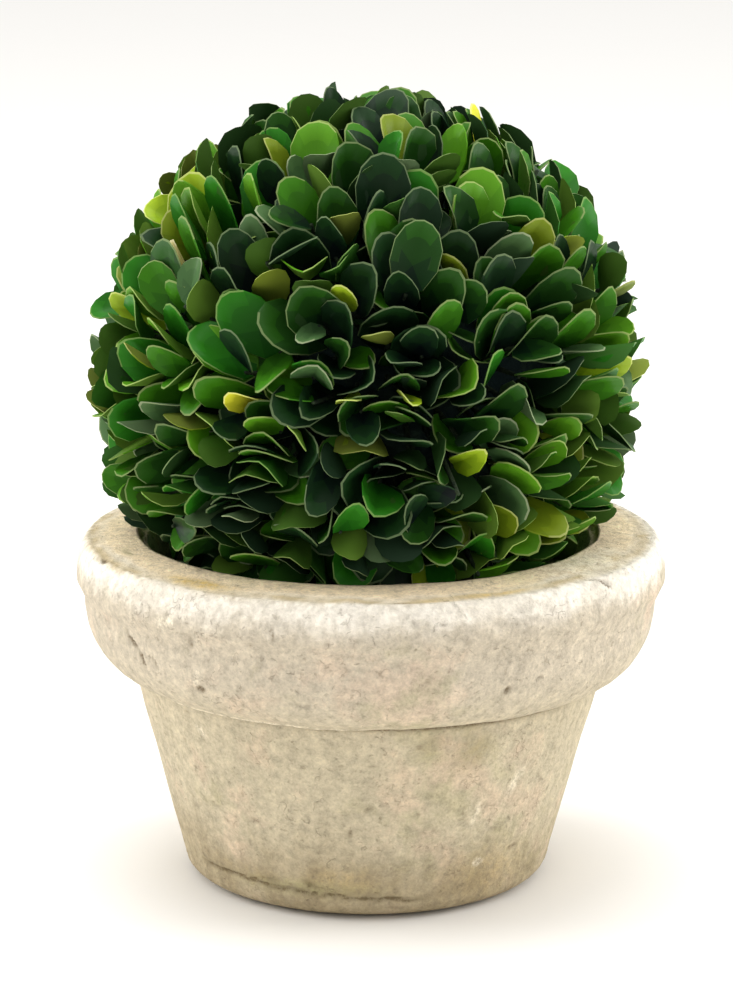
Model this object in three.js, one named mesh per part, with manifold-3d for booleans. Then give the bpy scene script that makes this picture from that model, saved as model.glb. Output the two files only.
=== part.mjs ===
// A clipped box ball in a thick-rimmed, weathered round pot.
// Millimetres, +Z up. The origin is the middle of the pot's flat underside.

import * as THREE from "three";
import { mergeVertices } from "three/addons/utils/BufferGeometryUtils.js";
import Module from "manifold-3d";

const wasm = await Module();
wasm.setup();

// Pot: outer radii and heights from the foot up, then the inner wall
const POT_HEIGHT = 71.5;
const RIM_RADIUS = 60;
const FOOT_RADIUS = 31;
const FOOT_EDGE_RADIUS = 37.5;
const FOOT_EDGE_HEIGHT = 4.2;
const NECK_RADIUS = 48.3;
const NECK_HEIGHT = 44.4;
const RIM_WAIST_RADIUS = 58.3;
const RIM_WAIST_HEIGHT = 58.8;
const RIM_WIDEST_HEIGHT = 62.5;
const CREASE_RADIUS = 57;
const CREASE_HEIGHT = 70.6;
const LIP_RADIUS = 44.9;
const LIP_ROUND = 1.8;
const FLOOR_RADIUS = 29.5;
const FLOOR_HEIGHT = 9;
const POT_SIDES = 72;

// Filling and stem
const SEAT_GAP = 0.3;
const FILL_HEIGHT = 60;
const FILL_DOME = 1.6;
const STEM_FOOT_RADIUS = 5.6;
const STEM_RADIUS = 4.1;
const STEM_TIP_RADIUS = 3.2;
const STEM_FLARE = 5;
const STEM_HEIGHT = 31;
const STEM_SIDES = 18;

// Crown: a ball a little flatter than it is wide
const CROWN_CENTRE = 106.5;
const CROWN_RADIUS = 55.6;
const CROWN_TOP = 54;
const CROWN_BOTTOM = 52;
const UPPER_ROUND = 1.96;
const LOWER_ROUND = 2.5;
const CORE_SHARE = 0.78;
const CORE_DETAIL = 2;

// Sprigs: a twig each, leaning up on the upper part of the ball and down on the lower part,
// but for the lowest, a skirt that lifts again to spread over the pot's lip
const SPRIGS = 135;
const LOWEST_SPRIG = -0.84;
const PARTING = 0.15;
const PARTING_BLEND = 0.6;
const SPRIG_LEAN = 24;
const SKIRT_FROM = 0.35;
const SKIRT_BLEND = 0.25;
const SKIRT_LIFT = 46;
const SPIN_SPREAD = 0.6;
const TWIG_ROOT_SHARE = 0.6;
const TWIG_RADIUS = 0.8;
const TWIG_PAST_LEAF = 0.8;

// Leaves: in crossed pairs on each twig, roots in it and upper faces turned to it, or to the
// light where they point sideways
const LEAF_LENGTH = 19.5;
const LEAF_SPREAD = 2.4;
const LEAF_WIDTH_SHARE = 0.72;
const LEAF_THICKNESS = 0.8;
const LEAF_CUP = 0.12;
const FACING_UP = 0.8;
const OPENNESS = 0.42;
const LEAF_TRIES = 8;
const LOOSER = 0.3;
const LIP_LIFT = 0.1;
const FREE_FROM = 0.5;
const HIGHEST_REACH = 1.035;
const FIRST_CLIMB = 8;
const CLIMB_STEPS = 6;
const POT_CLEARANCE = 0.8;

// Each leaf's angle to the twig and turn about it, in degrees, and the share its tip reaches
const LEAF_PLACES = [
  { lean: 24, turn: 0, reach: 1 },
  { lean: 24, turn: 180, reach: 1 },
  { lean: 38, turn: 90, reach: 0.98 },
  { lean: 38, turn: 270, reach: 0.98 },
];

// Corners of every solid lie on a grid this fine, so that none are nearly but not quite one
const GRID = 0.001;

const UP = new THREE.Vector3(0, 0, 1);
const GOLDEN_ANGLE = Math.PI * (3 - Math.sqrt(5));
const radians = THREE.MathUtils.degToRad;

// The seeded rule: the same two whole numbers always give the same share between 0 and 1.
function chance(item, draw) {
  const wave = Math.sin(item * 12.9898 + draw * 78.233) * 43758.5453;
  return wave - Math.floor(wave);
}

// The same, spread evenly between minus and plus the given width.
function jitter(item, draw, width) {
  return (chance(item, draw) * 2 - 1) * width;
}

// Solids

// A closed geometry as a solid, its corners put on a fine grid and what that folds flat removed.
function toSolid(geometry) {
  const bare = geometry.index ? geometry.toNonIndexed() : geometry;
  const placed = new THREE.BufferGeometry();
  const snapped = bare.getAttribute("position").array.map((v) => Math.round(v / GRID) * GRID);
  placed.setAttribute("position", new THREE.BufferAttribute(new Float32Array(snapped), 3));
  const merged = mergeVertices(placed, GRID / 10);
  const corners = merged.index.array;
  const faces = new Map();
  for (let i = 0; i < corners.length; i += 3) {
    const face = [corners[i], corners[i + 1], corners[i + 2]];
    if (new Set(face).size < 3) continue;
    const key = [...face].sort((m, n) => m - n).join();
    if (faces.has(key)) faces.delete(key);
    else faces.set(key, face);
  }
  return new wasm.Manifold(
    new wasm.Mesh({
      numProp: 3,
      vertProperties: merged.attributes.position.array,
      triVerts: new Uint32Array([...faces.values()].flat()),
    }),
  );
}

function toGeometry(solid) {
  const { vertProperties, triVerts } = solid.getMesh();
  const geometry = new THREE.BufferGeometry();
  geometry.setAttribute(
    "position",
    new THREE.BufferAttribute(new Float32Array(vertProperties), 3),
  );
  geometry.setIndex(new THREE.BufferAttribute(new Uint32Array(triVerts), 1));
  return geometry;
}

// The outer skin of the largest body: loose scraps are dropped and sealed hollows filled.
function largestBody(solid) {
  return solid
    .decompose()
    .reduce((best, body) => (body.volume() > best.volume() ? body : best));
}

// A closed profile of [radius, height] points turned about the upright axis.
function turned(profile, sides) {
  const points = profile.map(([r, z]) => new THREE.Vector2(Math.max(r, 0), z));
  return new THREE.LatheGeometry(points, sides).rotateX(Math.PI / 2);
}

// Points of a quarter ellipse from one radius and height to another: it sets off sideways and
// arrives upright where bulge is true, and the other way round where it is false.
function quarter([r0, z0], [r1, z1], steps, bulge) {
  return Array.from({ length: steps }, (_, i) => {
    const t = ((i + 1) / steps) * (Math.PI / 2);
    const across = bulge ? Math.sin(t) : 1 - Math.cos(t);
    const upward = bulge ? 1 - Math.cos(t) : Math.sin(t);
    return [r0 + (r1 - r0) * across, z0 + (z1 - z0) * upward];
  });
}

// Pot

function potOutside() {
  const widest = [RIM_RADIUS, RIM_WIDEST_HEIGHT];
  const crease = [CREASE_RADIUS, CREASE_HEIGHT];
  const lipTop = [LIP_RADIUS + LIP_ROUND, POT_HEIGHT];
  const lip = [LIP_RADIUS, POT_HEIGHT - LIP_ROUND];
  return [
    [0, 0],
    [FOOT_RADIUS, 0],
    ...quarter([FOOT_RADIUS, 0], [FOOT_EDGE_RADIUS, FOOT_EDGE_HEIGHT], 4, true),
    [NECK_RADIUS, NECK_HEIGHT],
    ...quarter([NECK_RADIUS, NECK_HEIGHT], [RIM_WAIST_RADIUS, RIM_WAIST_HEIGHT], 5, true),
    widest,
    ...quarter(widest, crease, 5, false),
    lipTop,
    ...quarter(lipTop, lip, 3, false),
  ];
}

// The inner wall's radius at a height between the floor and the lip.
function wallRadius(z) {
  const rise = (z - FLOOR_HEIGHT) / (POT_HEIGHT - LIP_ROUND - FLOOR_HEIGHT);
  return FLOOR_RADIUS + (LIP_RADIUS - FLOOR_RADIUS) * rise;
}

function potGeometry() {
  const inside = [
    [wallRadius(FLOOR_HEIGHT), FLOOR_HEIGHT],
    [0, FLOOR_HEIGHT],
  ];
  return turned([...potOutside(), ...inside], POT_SIDES);
}

// Filling: it lies on the floor and against the wall, and its top is a low dome round the stem
function fillGeometry() {
  const low = FLOOR_HEIGHT + SEAT_GAP;
  const rimHeight = FILL_HEIGHT - FILL_DOME;
  const seatRadius = STEM_FOOT_RADIUS + 2;
  const dome = [0.25, 0.5, 0.75].map((t) => [
    (wallRadius(rimHeight) - SEAT_GAP) * (1 - t) + seatRadius * t,
    rimHeight + FILL_DOME * Math.sin((t * Math.PI) / 2),
  ]);
  return turned(
    [
      [0, low],
      [wallRadius(low) - SEAT_GAP, low],
      [wallRadius(rimHeight) - SEAT_GAP, rimHeight],
      ...dome,
      [seatRadius, FILL_HEIGHT],
      [0, FILL_HEIGHT],
    ],
    POT_SIDES,
  );
}

// Stem: flared where it stands on the filling, tapering to its tip in the core
function stemProfile(grown) {
  const foot = FILL_HEIGHT + SEAT_GAP;
  const flare = quarter([STEM_FOOT_RADIUS, foot], [STEM_RADIUS, foot + STEM_FLARE], 4, false);
  return [
    [0, foot - grown],
    [STEM_FOOT_RADIUS + grown, foot - grown],
    ...flare.map(([r, z]) => [r + grown, z]),
    [STEM_TIP_RADIUS + grown, foot + STEM_HEIGHT],
    [0, foot + STEM_HEIGHT + grown],
  ];
}

// Crown

const centre = new THREE.Vector3(0, 0, CROWN_CENTRE);

// How far a point lies from the crown's centre, as a share of the crown's own reach that way:
// 1 on the outline, which is an ellipse above the centre and a fuller superellipse below it.
function reachShare(point) {
  const above = point.z > CROWN_CENTRE;
  const half = above ? CROWN_TOP : CROWN_BOTTOM;
  const power = above ? UPPER_ROUND : LOWER_ROUND;
  const wide = Math.hypot(point.x, point.y) / CROWN_RADIUS;
  const high = Math.abs(point.z - CROWN_CENTRE) / half;
  return (wide ** power + high ** power) ** (1 / power);
}

// The point that a share of the crown's reach gives along a direction.
function onCrown(direction, share) {
  const out = centre.clone().add(direction);
  return centre.clone().addScaledVector(direction, share / reachShare(out));
}

// True where a point is inside the pot's wall or filling, or closer to them than the clearance.
function meetsPot(point) {
  const r = Math.hypot(point.x, point.y);
  const belowRim = point.z < POT_HEIGHT + POT_CLEARANCE;
  const overWall = r > LIP_RADIUS - POT_CLEARANCE && r < RIM_RADIUS + POT_CLEARANCE;
  return point.z < FILL_HEIGHT + POT_CLEARANCE || (belowRim && overWall);
}

// An upright frame on the crown: out along the direction, up along the meridian, and across.
function surfaceFrame(direction) {
  const out = direction.clone().normalize();
  const across = new THREE.Vector3().crossVectors(UP, out);
  if (across.lengthSq() < 1e-6) across.set(1, 0, 0);
  across.normalize();
  const along = new THREE.Vector3().crossVectors(out, across);
  return { out, across, along };
}

// How far a sprig leans up its meridian at a height: never past upright near the top.
function sprigLean(sine) {
  const side = THREE.MathUtils.clamp((sine - PARTING) / PARTING_BLEND, -1, 1);
  const upright = 90 - THREE.MathUtils.radToDeg(Math.asin(sine));
  const skirt = THREE.MathUtils.smoothstep(-sine, SKIRT_FROM, SKIRT_FROM + SKIRT_BLEND);
  return radians(Math.min(SPRIG_LEAN * side + SKIRT_LIFT * skirt, 0.8 * upright));
}

// A slow wave over the crown, -1 to 1: the leaves stand open where it is high.
function swell({ x, y, z }) {
  return Math.sin(4.1 * x + 2.3 * z + 0.6) * Math.cos(3.7 * z - 2.9 * y + 0.4);
}

// Where sprig number i leaves the core, and which way it points: a golden spiral, disturbed.
function sprigAt(i) {
  const sine = 1 - (2 * (i + 0.5)) / SPRIGS + jitter(i, 1, 0.6 / SPRIGS);
  const turn = i * GOLDEN_ANGLE + jitter(i, 2, 0.12);
  const cosine = Math.sqrt(Math.max(0, 1 - sine * sine));
  const direction = new THREE.Vector3(
    cosine * Math.cos(turn),
    cosine * Math.sin(turn),
    sine,
  );
  const { along, across } = surfaceFrame(direction);
  const axis = direction
    .clone()
    .addScaledVector(along, Math.tan(sprigLean(sine) + jitter(i, 3, 0.2)))
    .addScaledVector(across, jitter(i, 4, 0.3))
    .normalize();
  return { sine, direction, axis };
}

// Corners of a leaf as shares of its width and length: a narrow root, a full middle, a blunt tip
const LEAF_OUTLINE = [
  [0, -0.05],
  [0.48, 0.42],
  [0.4, 0.84],
  [0, 1],
  [-0.4, 0.84],
  [-0.48, 0.42],
];

// One blade, cupped towards its upper face: a double pyramid over its outline.
function leafAt(root, along, face, length, width) {
  const across = new THREE.Vector3().crossVectors(along, face).normalize();
  const place = new THREE.Matrix4().makeBasis(across, along, face).setPosition(root);
  const rise = LEAF_CUP * width;
  const outline = LEAF_OUTLINE.map(([x, y]) =>
    new THREE.Vector3(x * width, y * length, x ? rise : 0).applyMatrix4(place),
  );
  const middle = 0.55 * length;
  const faces = [LEAF_THICKNESS / 3, (-LEAF_THICKNESS * 2) / 3].map((z) =>
    new THREE.Vector3(0, middle, z).applyMatrix4(place),
  );
  return [...outline, ...faces];
}

function leafGeometry(corners) {
  const count = LEAF_OUTLINE.length;
  const triangles = LEAF_OUTLINE.flatMap((_, k) => {
    const next = (k + 1) % count;
    return [k, next, count, next, k, count + 1];
  });
  const geometry = new THREE.BufferGeometry();
  const positions = new Float32Array(corners.flatMap((p) => p.toArray()));
  geometry.setAttribute("position", new THREE.BufferAttribute(positions, 3));
  geometry.setIndex(triangles);
  return geometry;
}

// A blade past its root as flat triangles round its middle, to test it against others.
function leafTriangles(corners) {
  const count = LEAF_OUTLINE.length;
  const middle = corners[count].clone().lerp(corners[count + 1], 0.5);
  const edge = corners.slice(0, count);
  edge[0] = edge[0].clone().lerp(middle, FREE_FROM);
  return edge.map((p, k) => new THREE.Triangle(p, edge[(k + 1) % count], middle));
}

const ray = new THREE.Ray();
const hit = new THREE.Vector3();

// True where an edge of one set of triangles goes through a triangle of the other.
function edgesCross(one, other) {
  return one.some(({ a, b }) => {
    const length = a.distanceTo(b);
    ray.origin.copy(a);
    ray.direction.copy(b).sub(a).divideScalar(length);
    return other.some((t) => {
      const found = ray.intersectTriangle(t.a, t.b, t.c, false, hit);
      return found && found.distanceTo(a) < length;
    });
  });
}

// A three-sided twig that tapers from its root to its tip.
function twigGeometry(from, to) {
  const length = from.distanceTo(to);
  const geometry = new THREE.CylinderGeometry(TWIG_RADIUS * 0.6, TWIG_RADIUS, length, 3);
  const along = to.clone().sub(from).normalize();
  const turn = new THREE.Quaternion().setFromUnitVectors(new THREE.Vector3(0, 1, 0), along);
  return geometry
    .translate(0, length / 2, 0)
    .applyQuaternion(turn)
    .translate(from.x, from.y, from.z);
}

// How far up its twig a leaf starts, so that its tip lies at a share of the crown's reach: each
// step slides it by what the tip still lacks.
function climbTo(sprig, along, length, wanted) {
  let climb = FIRST_CLIMB;
  for (let step = 0; step < CLIMB_STEPS; step += 1) {
    const tip = sprig.root
      .clone()
      .addScaledVector(sprig.axis, climb)
      .addScaledVector(along, length);
    const out = tip.clone().sub(centre);
    const lacking = (wanted / reachShare(tip) - 1) * out.length();
    climb += lacking / Math.max(out.normalize().dot(sprig.axis), 0.4);
  }
  return climb;
}

// A leaf of sprig i at one of its places, drawn afresh and more loosely for each try; on the
// lower part of the ball each try also lifts it a little, to lie over the pot's lip.
function drawLeaf(i, k, attempt, sprig) {
  const { lean, turn, reach } = LEAF_PLACES[k];
  const draw = 10 + 8 * (k + LEAF_PLACES.length * attempt);
  const loose = 1 + attempt * LOOSER;
  const { across, along: meridian } = surfaceFrame(sprig.axis);
  const around = sprig.spin + radians(turn) + jitter(i, draw, 0.25 * loose);
  const opened = 1 + OPENNESS * swell(sprig.axis);
  const leafLean = radians(lean) * opened + jitter(i, draw + 1, 0.15 * loose);
  const side = across.applyAxisAngle(sprig.axis, around);
  const along = sprig.axis
    .clone()
    .multiplyScalar(Math.cos(leafLean))
    .addScaledVector(side, Math.sin(leafLean));
  if (sprig.sine < 0) along.z += LIP_LIFT * attempt;
  along.normalize();
  const toward = sprig.axis
    .clone()
    .addScaledVector(UP, FACING_UP * (1 - side.dot(meridian) ** 2));
  const face = toward
    .addScaledVector(along, -along.dot(toward))
    .normalize()
    .applyAxisAngle(along, jitter(i, draw + 2, 0.3 * loose));
  const length = LEAF_LENGTH + jitter(i, draw + 3, LEAF_SPREAD);
  const width = length * (LEAF_WIDTH_SHARE + jitter(i, draw + 4, 0.07));
  const wanted = reach + jitter(i, draw + 5, 0.03);
  const climb = climbTo(sprig, along, length, wanted);
  const root = sprig.root.clone().addScaledVector(sprig.axis, climb);
  return { climb, corners: leafAt(root, along, face, length, width) };
}

// A leaf fits where it is clear of the pot, within the crown and through no earlier leaf.
function fits(corners, placed) {
  const count = LEAF_OUTLINE.length;
  const middles = corners.map((p, k) => p.clone().lerp(corners[(k + 1) % count], 0.5));
  if ([...corners, ...middles].some(meetsPot)) return false;
  if (corners.some((p) => reachShare(p) > HIGHEST_REACH)) return false;
  const triangles = leafTriangles(corners);
  const middle = corners[count];
  return !placed.some(
    (other) =>
      other.middle.distanceTo(middle) < LEAF_LENGTH * 1.2 &&
      (edgesCross(triangles, other.triangles) || edgesCross(other.triangles, triangles)),
  );
}

// The twig of sprig i and those of its leaves that fit; placed collects every leaf's blade.
function sprigGeometries(i, placed) {
  const sprig = sprigAt(i);
  if (sprig.sine < LOWEST_SPRIG) return [];
  sprig.root = onCrown(sprig.direction, TWIG_ROOT_SHARE);
  sprig.spin = Math.PI / 2 + jitter(i, 5, SPIN_SPREAD);
  const made = [];
  let twigLength = 0;
  LEAF_PLACES.forEach((_, k) => {
    for (let attempt = 0; attempt < LEAF_TRIES; attempt += 1) {
      const { climb, corners } = drawLeaf(i, k, attempt, sprig);
      if (fits(corners, placed)) {
        placed.push({
          triangles: leafTriangles(corners),
          middle: corners[LEAF_OUTLINE.length],
        });
        made.push(leafGeometry(corners));
        twigLength = Math.max(twigLength, climb);
        break;
      }
    }
  });
  if (made.length === 0) return [];
  const tip = sprig.root.clone().addScaledVector(sprig.axis, twigLength + TWIG_PAST_LEAF);
  return [...made, twigGeometry(sprig.root, tip)];
}

function crownSolid() {
  const core = new THREE.IcosahedronGeometry(1, CORE_DETAIL);
  core.scale(CROWN_RADIUS * CORE_SHARE, CROWN_RADIUS * CORE_SHARE, CROWN_BOTTOM * CORE_SHARE);
  core.translate(0, 0, CROWN_CENTRE);
  const placed = [];
  const numbers = Array.from({ length: SPRIGS }, (_, i) => i);
  const sprigs = numbers.flatMap((i) => sprigGeometries(i, placed)).map(toSolid);
  const socket = toSolid(turned(stemProfile(SEAT_GAP), STEM_SIDES));
  const fused = wasm.Manifold.union([toSolid(core), ...sprigs]).subtract(socket);
  return largestBody(fused);
}

// Assembly

function finish(colour, roughness) {
  return new THREE.MeshStandardMaterial({ color: colour, roughness, metalness: 0 });
}

function piece(name, geometry, material) {
  const mesh = new THREE.Mesh(geometry, material);
  mesh.name = name;
  return mesh;
}

const agedClay = finish(0xd6c6a6, 0.85);
const darkFibre = finish(0x1f1a14, 0.95);
const bark = finish(0x6b5a41, 0.8);
const boxLeaf = finish(0x1f4a16, 0.45);

const topiary = new THREE.Group();
topiary.add(piece("pot", potGeometry(), agedClay));
topiary.add(piece("filling", fillGeometry(), darkFibre));
topiary.add(piece("stem", turned(stemProfile(0), STEM_SIDES), bark));
topiary.add(piece("crown", toGeometry(toSolid(toGeometry(crownSolid()))), boxLeaf));

export default topiary;
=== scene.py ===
"""A clipped box ball in a thick-rimmed, weathered round pot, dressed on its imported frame."""

import logging
import math
from collections.abc import Sequence
from dataclasses import dataclass, field
from enum import Enum
from typing import Any, NamedTuple

import bpy
import numpy as np
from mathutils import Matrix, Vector


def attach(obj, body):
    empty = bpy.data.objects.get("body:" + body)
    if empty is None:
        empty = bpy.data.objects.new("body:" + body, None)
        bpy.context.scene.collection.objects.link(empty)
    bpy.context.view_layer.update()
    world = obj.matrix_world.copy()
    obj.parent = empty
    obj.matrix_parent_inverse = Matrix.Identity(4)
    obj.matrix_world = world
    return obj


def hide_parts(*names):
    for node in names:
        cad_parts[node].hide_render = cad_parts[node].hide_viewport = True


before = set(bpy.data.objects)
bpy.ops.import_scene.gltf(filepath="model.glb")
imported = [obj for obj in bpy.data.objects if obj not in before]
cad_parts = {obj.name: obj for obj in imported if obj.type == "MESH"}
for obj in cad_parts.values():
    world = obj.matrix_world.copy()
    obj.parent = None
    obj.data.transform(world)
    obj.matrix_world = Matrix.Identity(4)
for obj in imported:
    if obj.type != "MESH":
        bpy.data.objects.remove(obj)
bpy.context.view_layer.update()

MM = 0.001
GOLDEN_ANGLE = math.pi * (3 - math.sqrt(5))
LOG = logging.getLogger("topiary")

# The source's seeded rule: a step for each item and each draw, and the wave's height
ITEM_STEP, DRAW_STEP, WAVE_HEIGHT = 12.9898, 78.233, 43758.5453
# What mixes a cell's three whole numbers and the seed into one hash, and how much of it is kept
CELL_STEPS = np.array([73856093, 19349663, 83492791])
SEED_STEP, HASH_STEP, HASH_MASK = 2654435761, 1274126177, 0xFFFFFF
# How far each finer layer of noise is moved, so that their cells don't share corners
LAYER_SHIFT = 17.3

Array = np.ndarray
Colour = tuple[int, int, int]


# Numbers


def chance(item: Array, draw: Array | int) -> Array:
    """A share, 0 to 1, that a thing's number and a draw's always give: a fast wave's fraction."""
    wave = np.sin(np.asarray(item) * ITEM_STEP + np.asarray(draw) * DRAW_STEP) * WAVE_HEIGHT
    return wave - np.floor(wave)


def jitter(item: Array, draw: Array | int, width: Array | float) -> Array:
    """The same, spread evenly between minus and plus the given width."""
    return (chance(item, draw) * 2 - 1) * width


def ease(value: Array, low: float, high: float) -> Array:
    """A smooth step: 0 below low, 1 above high, and 3t^2 - 2t^3 between."""
    t = np.clip((value - low) / (high - low), 0, 1)
    return t * t * (3 - 2 * t)


def unit(vectors: Array) -> Array:
    """Vectors scaled to length 1."""
    return vectors / np.linalg.norm(vectors, axis=-1, keepdims=True)


def dot(a: Array, b: Array) -> Array:
    """The dot products of two rows of vectors, as a column."""
    return (a * b).sum(axis=-1, keepdims=True)


def turned_about(vectors: Array, axis: Array, angle: Array) -> Array:
    """Vectors turned about unit axes: v cos a + (axis x v) sin a + axis (axis . v)(1 - cos a)."""
    c, s = np.cos(angle)[..., None], np.sin(angle)[..., None]
    return vectors * c + np.cross(axis, vectors) * s + axis * dot(axis, vectors) * (1 - c)


def lattice_noise(points: Array, seed: int) -> Array:
    """Smooth noise between -1 and 1.

    Each corner of the unit cell round a point gets a value hashed from its whole numbers, and
    the eight values are blended by a smooth step along each axis.

    Args:
        points: Places, in units of the noise's period.
        seed: A whole number that picks the pattern.

    Returns:
        One value for each place.
    """
    cell = np.floor(points).astype(np.int64)
    part = points - cell
    part = part * part * (3 - 2 * part)
    total = np.zeros(points.shape[:-1])
    for corner in np.ndindex(2, 2, 2):
        key = (cell + corner) @ CELL_STEPS + seed * SEED_STEP
        key = (key ^ (key >> 13)) * HASH_STEP
        key = (key ^ (key >> 16)) & HASH_MASK
        weight = np.prod(np.where(np.array(corner) == 1, part, 1 - part), axis=-1)
        total += weight * (key / HASH_MASK * 2 - 1)
    return total


def layered_noise(points: Array, period: float, layers: int, seed: int) -> Array:
    """Noise at a period in mm, with layers of half the period and half the strength on it."""
    total = np.zeros(points.shape[:-1])
    for k in range(layers):
        total += lattice_noise(points * (2**k / period) + LAYER_SHIFT * k, seed + k) / 2**k
    return total / (2 - 2 ** (1 - layers))


def quarter(start: Sequence[float], end: Sequence[float], count: int, bulge: bool) -> Array:
    """Points of a quarter ellipse from one radius and height to another, without the first.

    Args:
        start: Where it sets off.
        end: Where it arrives.
        count: The number of points.
        bulge: True where it sets off sideways and arrives upright, false the other way round.

    Returns:
        The points, one a row.
    """
    t = np.arange(1, count + 1) / count * np.pi / 2
    shares = [np.sin(t), 1 - np.cos(t)] if bulge else [1 - np.cos(t), np.sin(t)]
    return np.asarray(start) + (np.asarray(end) - start) * np.stack(shares, 1)


def straight(start: Sequence[float], end: Sequence[float], count: int) -> Array:
    """Evenly spaced points on a line from start to end, without the first."""
    t = (np.arange(1, count + 1) / count)[:, None]
    return np.asarray(start) * (1 - t) + np.asarray(end) * t


# Meshes


class Shell(NamedTuple):
    """Points in mm, the corner numbers of all faces in a row, and each face's corner count."""

    points: Array
    corners: Array
    counts: Array


def turned_grid(wide: Array, high: Array, columns: int) -> Array:
    """The places (r cos a, r sin a, z) at each row's radius and height and each even angle a.

    Args:
        wide: The radii, one for each row, or rows by columns.
        high: The heights, the same way.
        columns: The number of angles.

    Returns:
        The places, rows by columns by three.
    """
    angle = np.arange(columns) / columns * 2 * np.pi
    r, z = (values.reshape(len(values), -1) + np.zeros(columns) for values in (wide, high))
    return np.stack([r * np.cos(angle), r * np.sin(angle), z], -1)


def tube_faces(rows: int, columns: int) -> tuple[Array, Array]:
    """The outward faces of rows of points round an axis, closed on a point at either end.

    Args:
        rows: The number of rows, from the low end up.
        columns: The number of points in a row, counted to the left round the axis.

    Returns:
        The corner numbers of all faces in a row, where the low end's point comes after the
        grid's and the high end's last, and each face's corner count.
    """
    here = np.arange(rows * columns).reshape(rows, columns)
    beside = np.roll(here, -1, axis=1)
    parts = (
        np.stack([here[:-1], beside[:-1], beside[1:], here[1:]], -1),
        np.stack([np.full(columns, here.size), beside[0], here[0]], -1),
        np.stack([np.full(columns, here.size + 1), here[-1], beside[-1]], -1),
    )
    corners = np.concatenate([part.reshape(-1) for part in parts])
    return corners, np.repeat([4, 3], [(rows - 1) * columns, 2 * columns])


def many(points: Array, corners: Array, counts: Array) -> Shell:
    """One shell from the points of many things of one build and the faces of the first."""
    shifts = np.arange(len(points))[:, None] * points.shape[1]
    faces = (corners + shifts).reshape(-1)
    return Shell(points.reshape(-1, 3), faces, np.tile(counts, len(points)))


@dataclass
class Lathe:
    """A closed profile that turns about the upright axis, with its two ends on the axis.

    Its rows are the profile's points between the ends, and its columns the even angles round.
    """

    profile: Array
    columns: int
    radius: Array = field(init=False)
    height: Array = field(init=False)
    spots: Array = field(init=False)

    def __post_init__(self) -> None:
        """Keeps each row's radius and height, and the places before any relief."""
        self.radius, self.height = self.profile[1:-1].T
        self.spots = turned_grid(self.radius, self.height, self.columns)

    def turned(self, relief: Array) -> Shell:
        """The shell, each place moved by the relief along the profile's own normal.

        Args:
            relief: How far each place moves out, in mm, rows by columns.

        Returns:
            The shell, its faces outwards.
        """
        slope = np.gradient(self.profile, axis=0)[1:-1]
        normal = unit(np.stack([slope[:, 1], -slope[:, 0]], 1))
        wide = self.radius[:, None] + normal[:, :1] * relief
        high = self.height[:, None] + normal[:, 1:] * relief
        grid = turned_grid(wide, high, self.columns).reshape(-1, 3)
        poles = [[0.0, 0.0, self.profile[end, 1]] for end in (0, -1)]
        return Shell(np.concatenate([grid, poles]), *tube_faces(len(wide), self.columns))


def mesh_piece(
    name: str,
    shell: Shell,
    materials: Sequence[bpy.types.Material],
    slots: Array | None = None,
    sharp: float | None = None,
) -> bpy.types.Object:
    """Makes one object at the origin from a shell, smooth but for edges sharper than an angle.

    Args:
        name: The piece's name.
        shell: Its points in mm, and its faces.
        materials: Its materials, in the order of its slots.
        slots: Each face's slot number, or none for all in the first.
        sharp: The angle in degrees past which an edge is drawn sharp, or none.

    Returns:
        The object, linked into the scene.
    """
    mesh = bpy.data.meshes.new(name)
    mesh.vertices.add(len(shell.points))
    mesh.vertices.foreach_set("co", (shell.points * MM).astype(np.float32).reshape(-1))
    mesh.loops.add(len(shell.corners))
    mesh.loops.foreach_set("vertex_index", shell.corners.astype(np.int32))
    mesh.polygons.add(len(shell.counts))
    starts = np.concatenate([[0], np.cumsum(shell.counts)[:-1]])
    mesh.polygons.foreach_set("loop_start", starts.astype(np.int32))
    mesh.polygons.foreach_set("use_smooth", np.ones(len(shell.counts), bool))
    for material in materials:
        mesh.materials.append(material)
    if slots is not None:
        mesh.polygons.foreach_set("material_index", slots.astype(np.int32))
    mesh.update(calc_edges=True)
    mesh.validate()
    if sharp is not None:
        mesh.set_sharp_from_angle(angle=math.radians(sharp))
    piece = bpy.data.objects.new(name, mesh)
    bpy.context.scene.collection.objects.link(piece)
    return piece


def settle(piece: bpy.types.Object, node: str) -> None:
    """Puts a piece on the body in place of a node of the frame, and reports it.

    Args:
        piece: The finished piece.
        node: The node of the frame that it stands for.
    """
    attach(piece, "root")
    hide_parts(node)
    corners = np.zeros(len(piece.data.polygons), np.int32)
    piece.data.polygons.foreach_get("loop_total", corners)
    LOG.info("%s: %d triangles, for %s", piece.name, int((corners - 2).sum()), node)


# Shaders


def tint(colour: Colour) -> tuple[float, float, float, float]:
    """A display colour, 0 to 255, as the linear one that a shader takes."""
    shares = [c / 255 for c in colour]
    linear = [s / 12.92 if s <= 0.04045 else ((s + 0.055) / 1.055) ** 2.4 for s in shares]
    return (linear[0], linear[1], linear[2], 1.0)


Settings = dict[str, Any] | None
Inputs = dict[int | str, Any] | None


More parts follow.
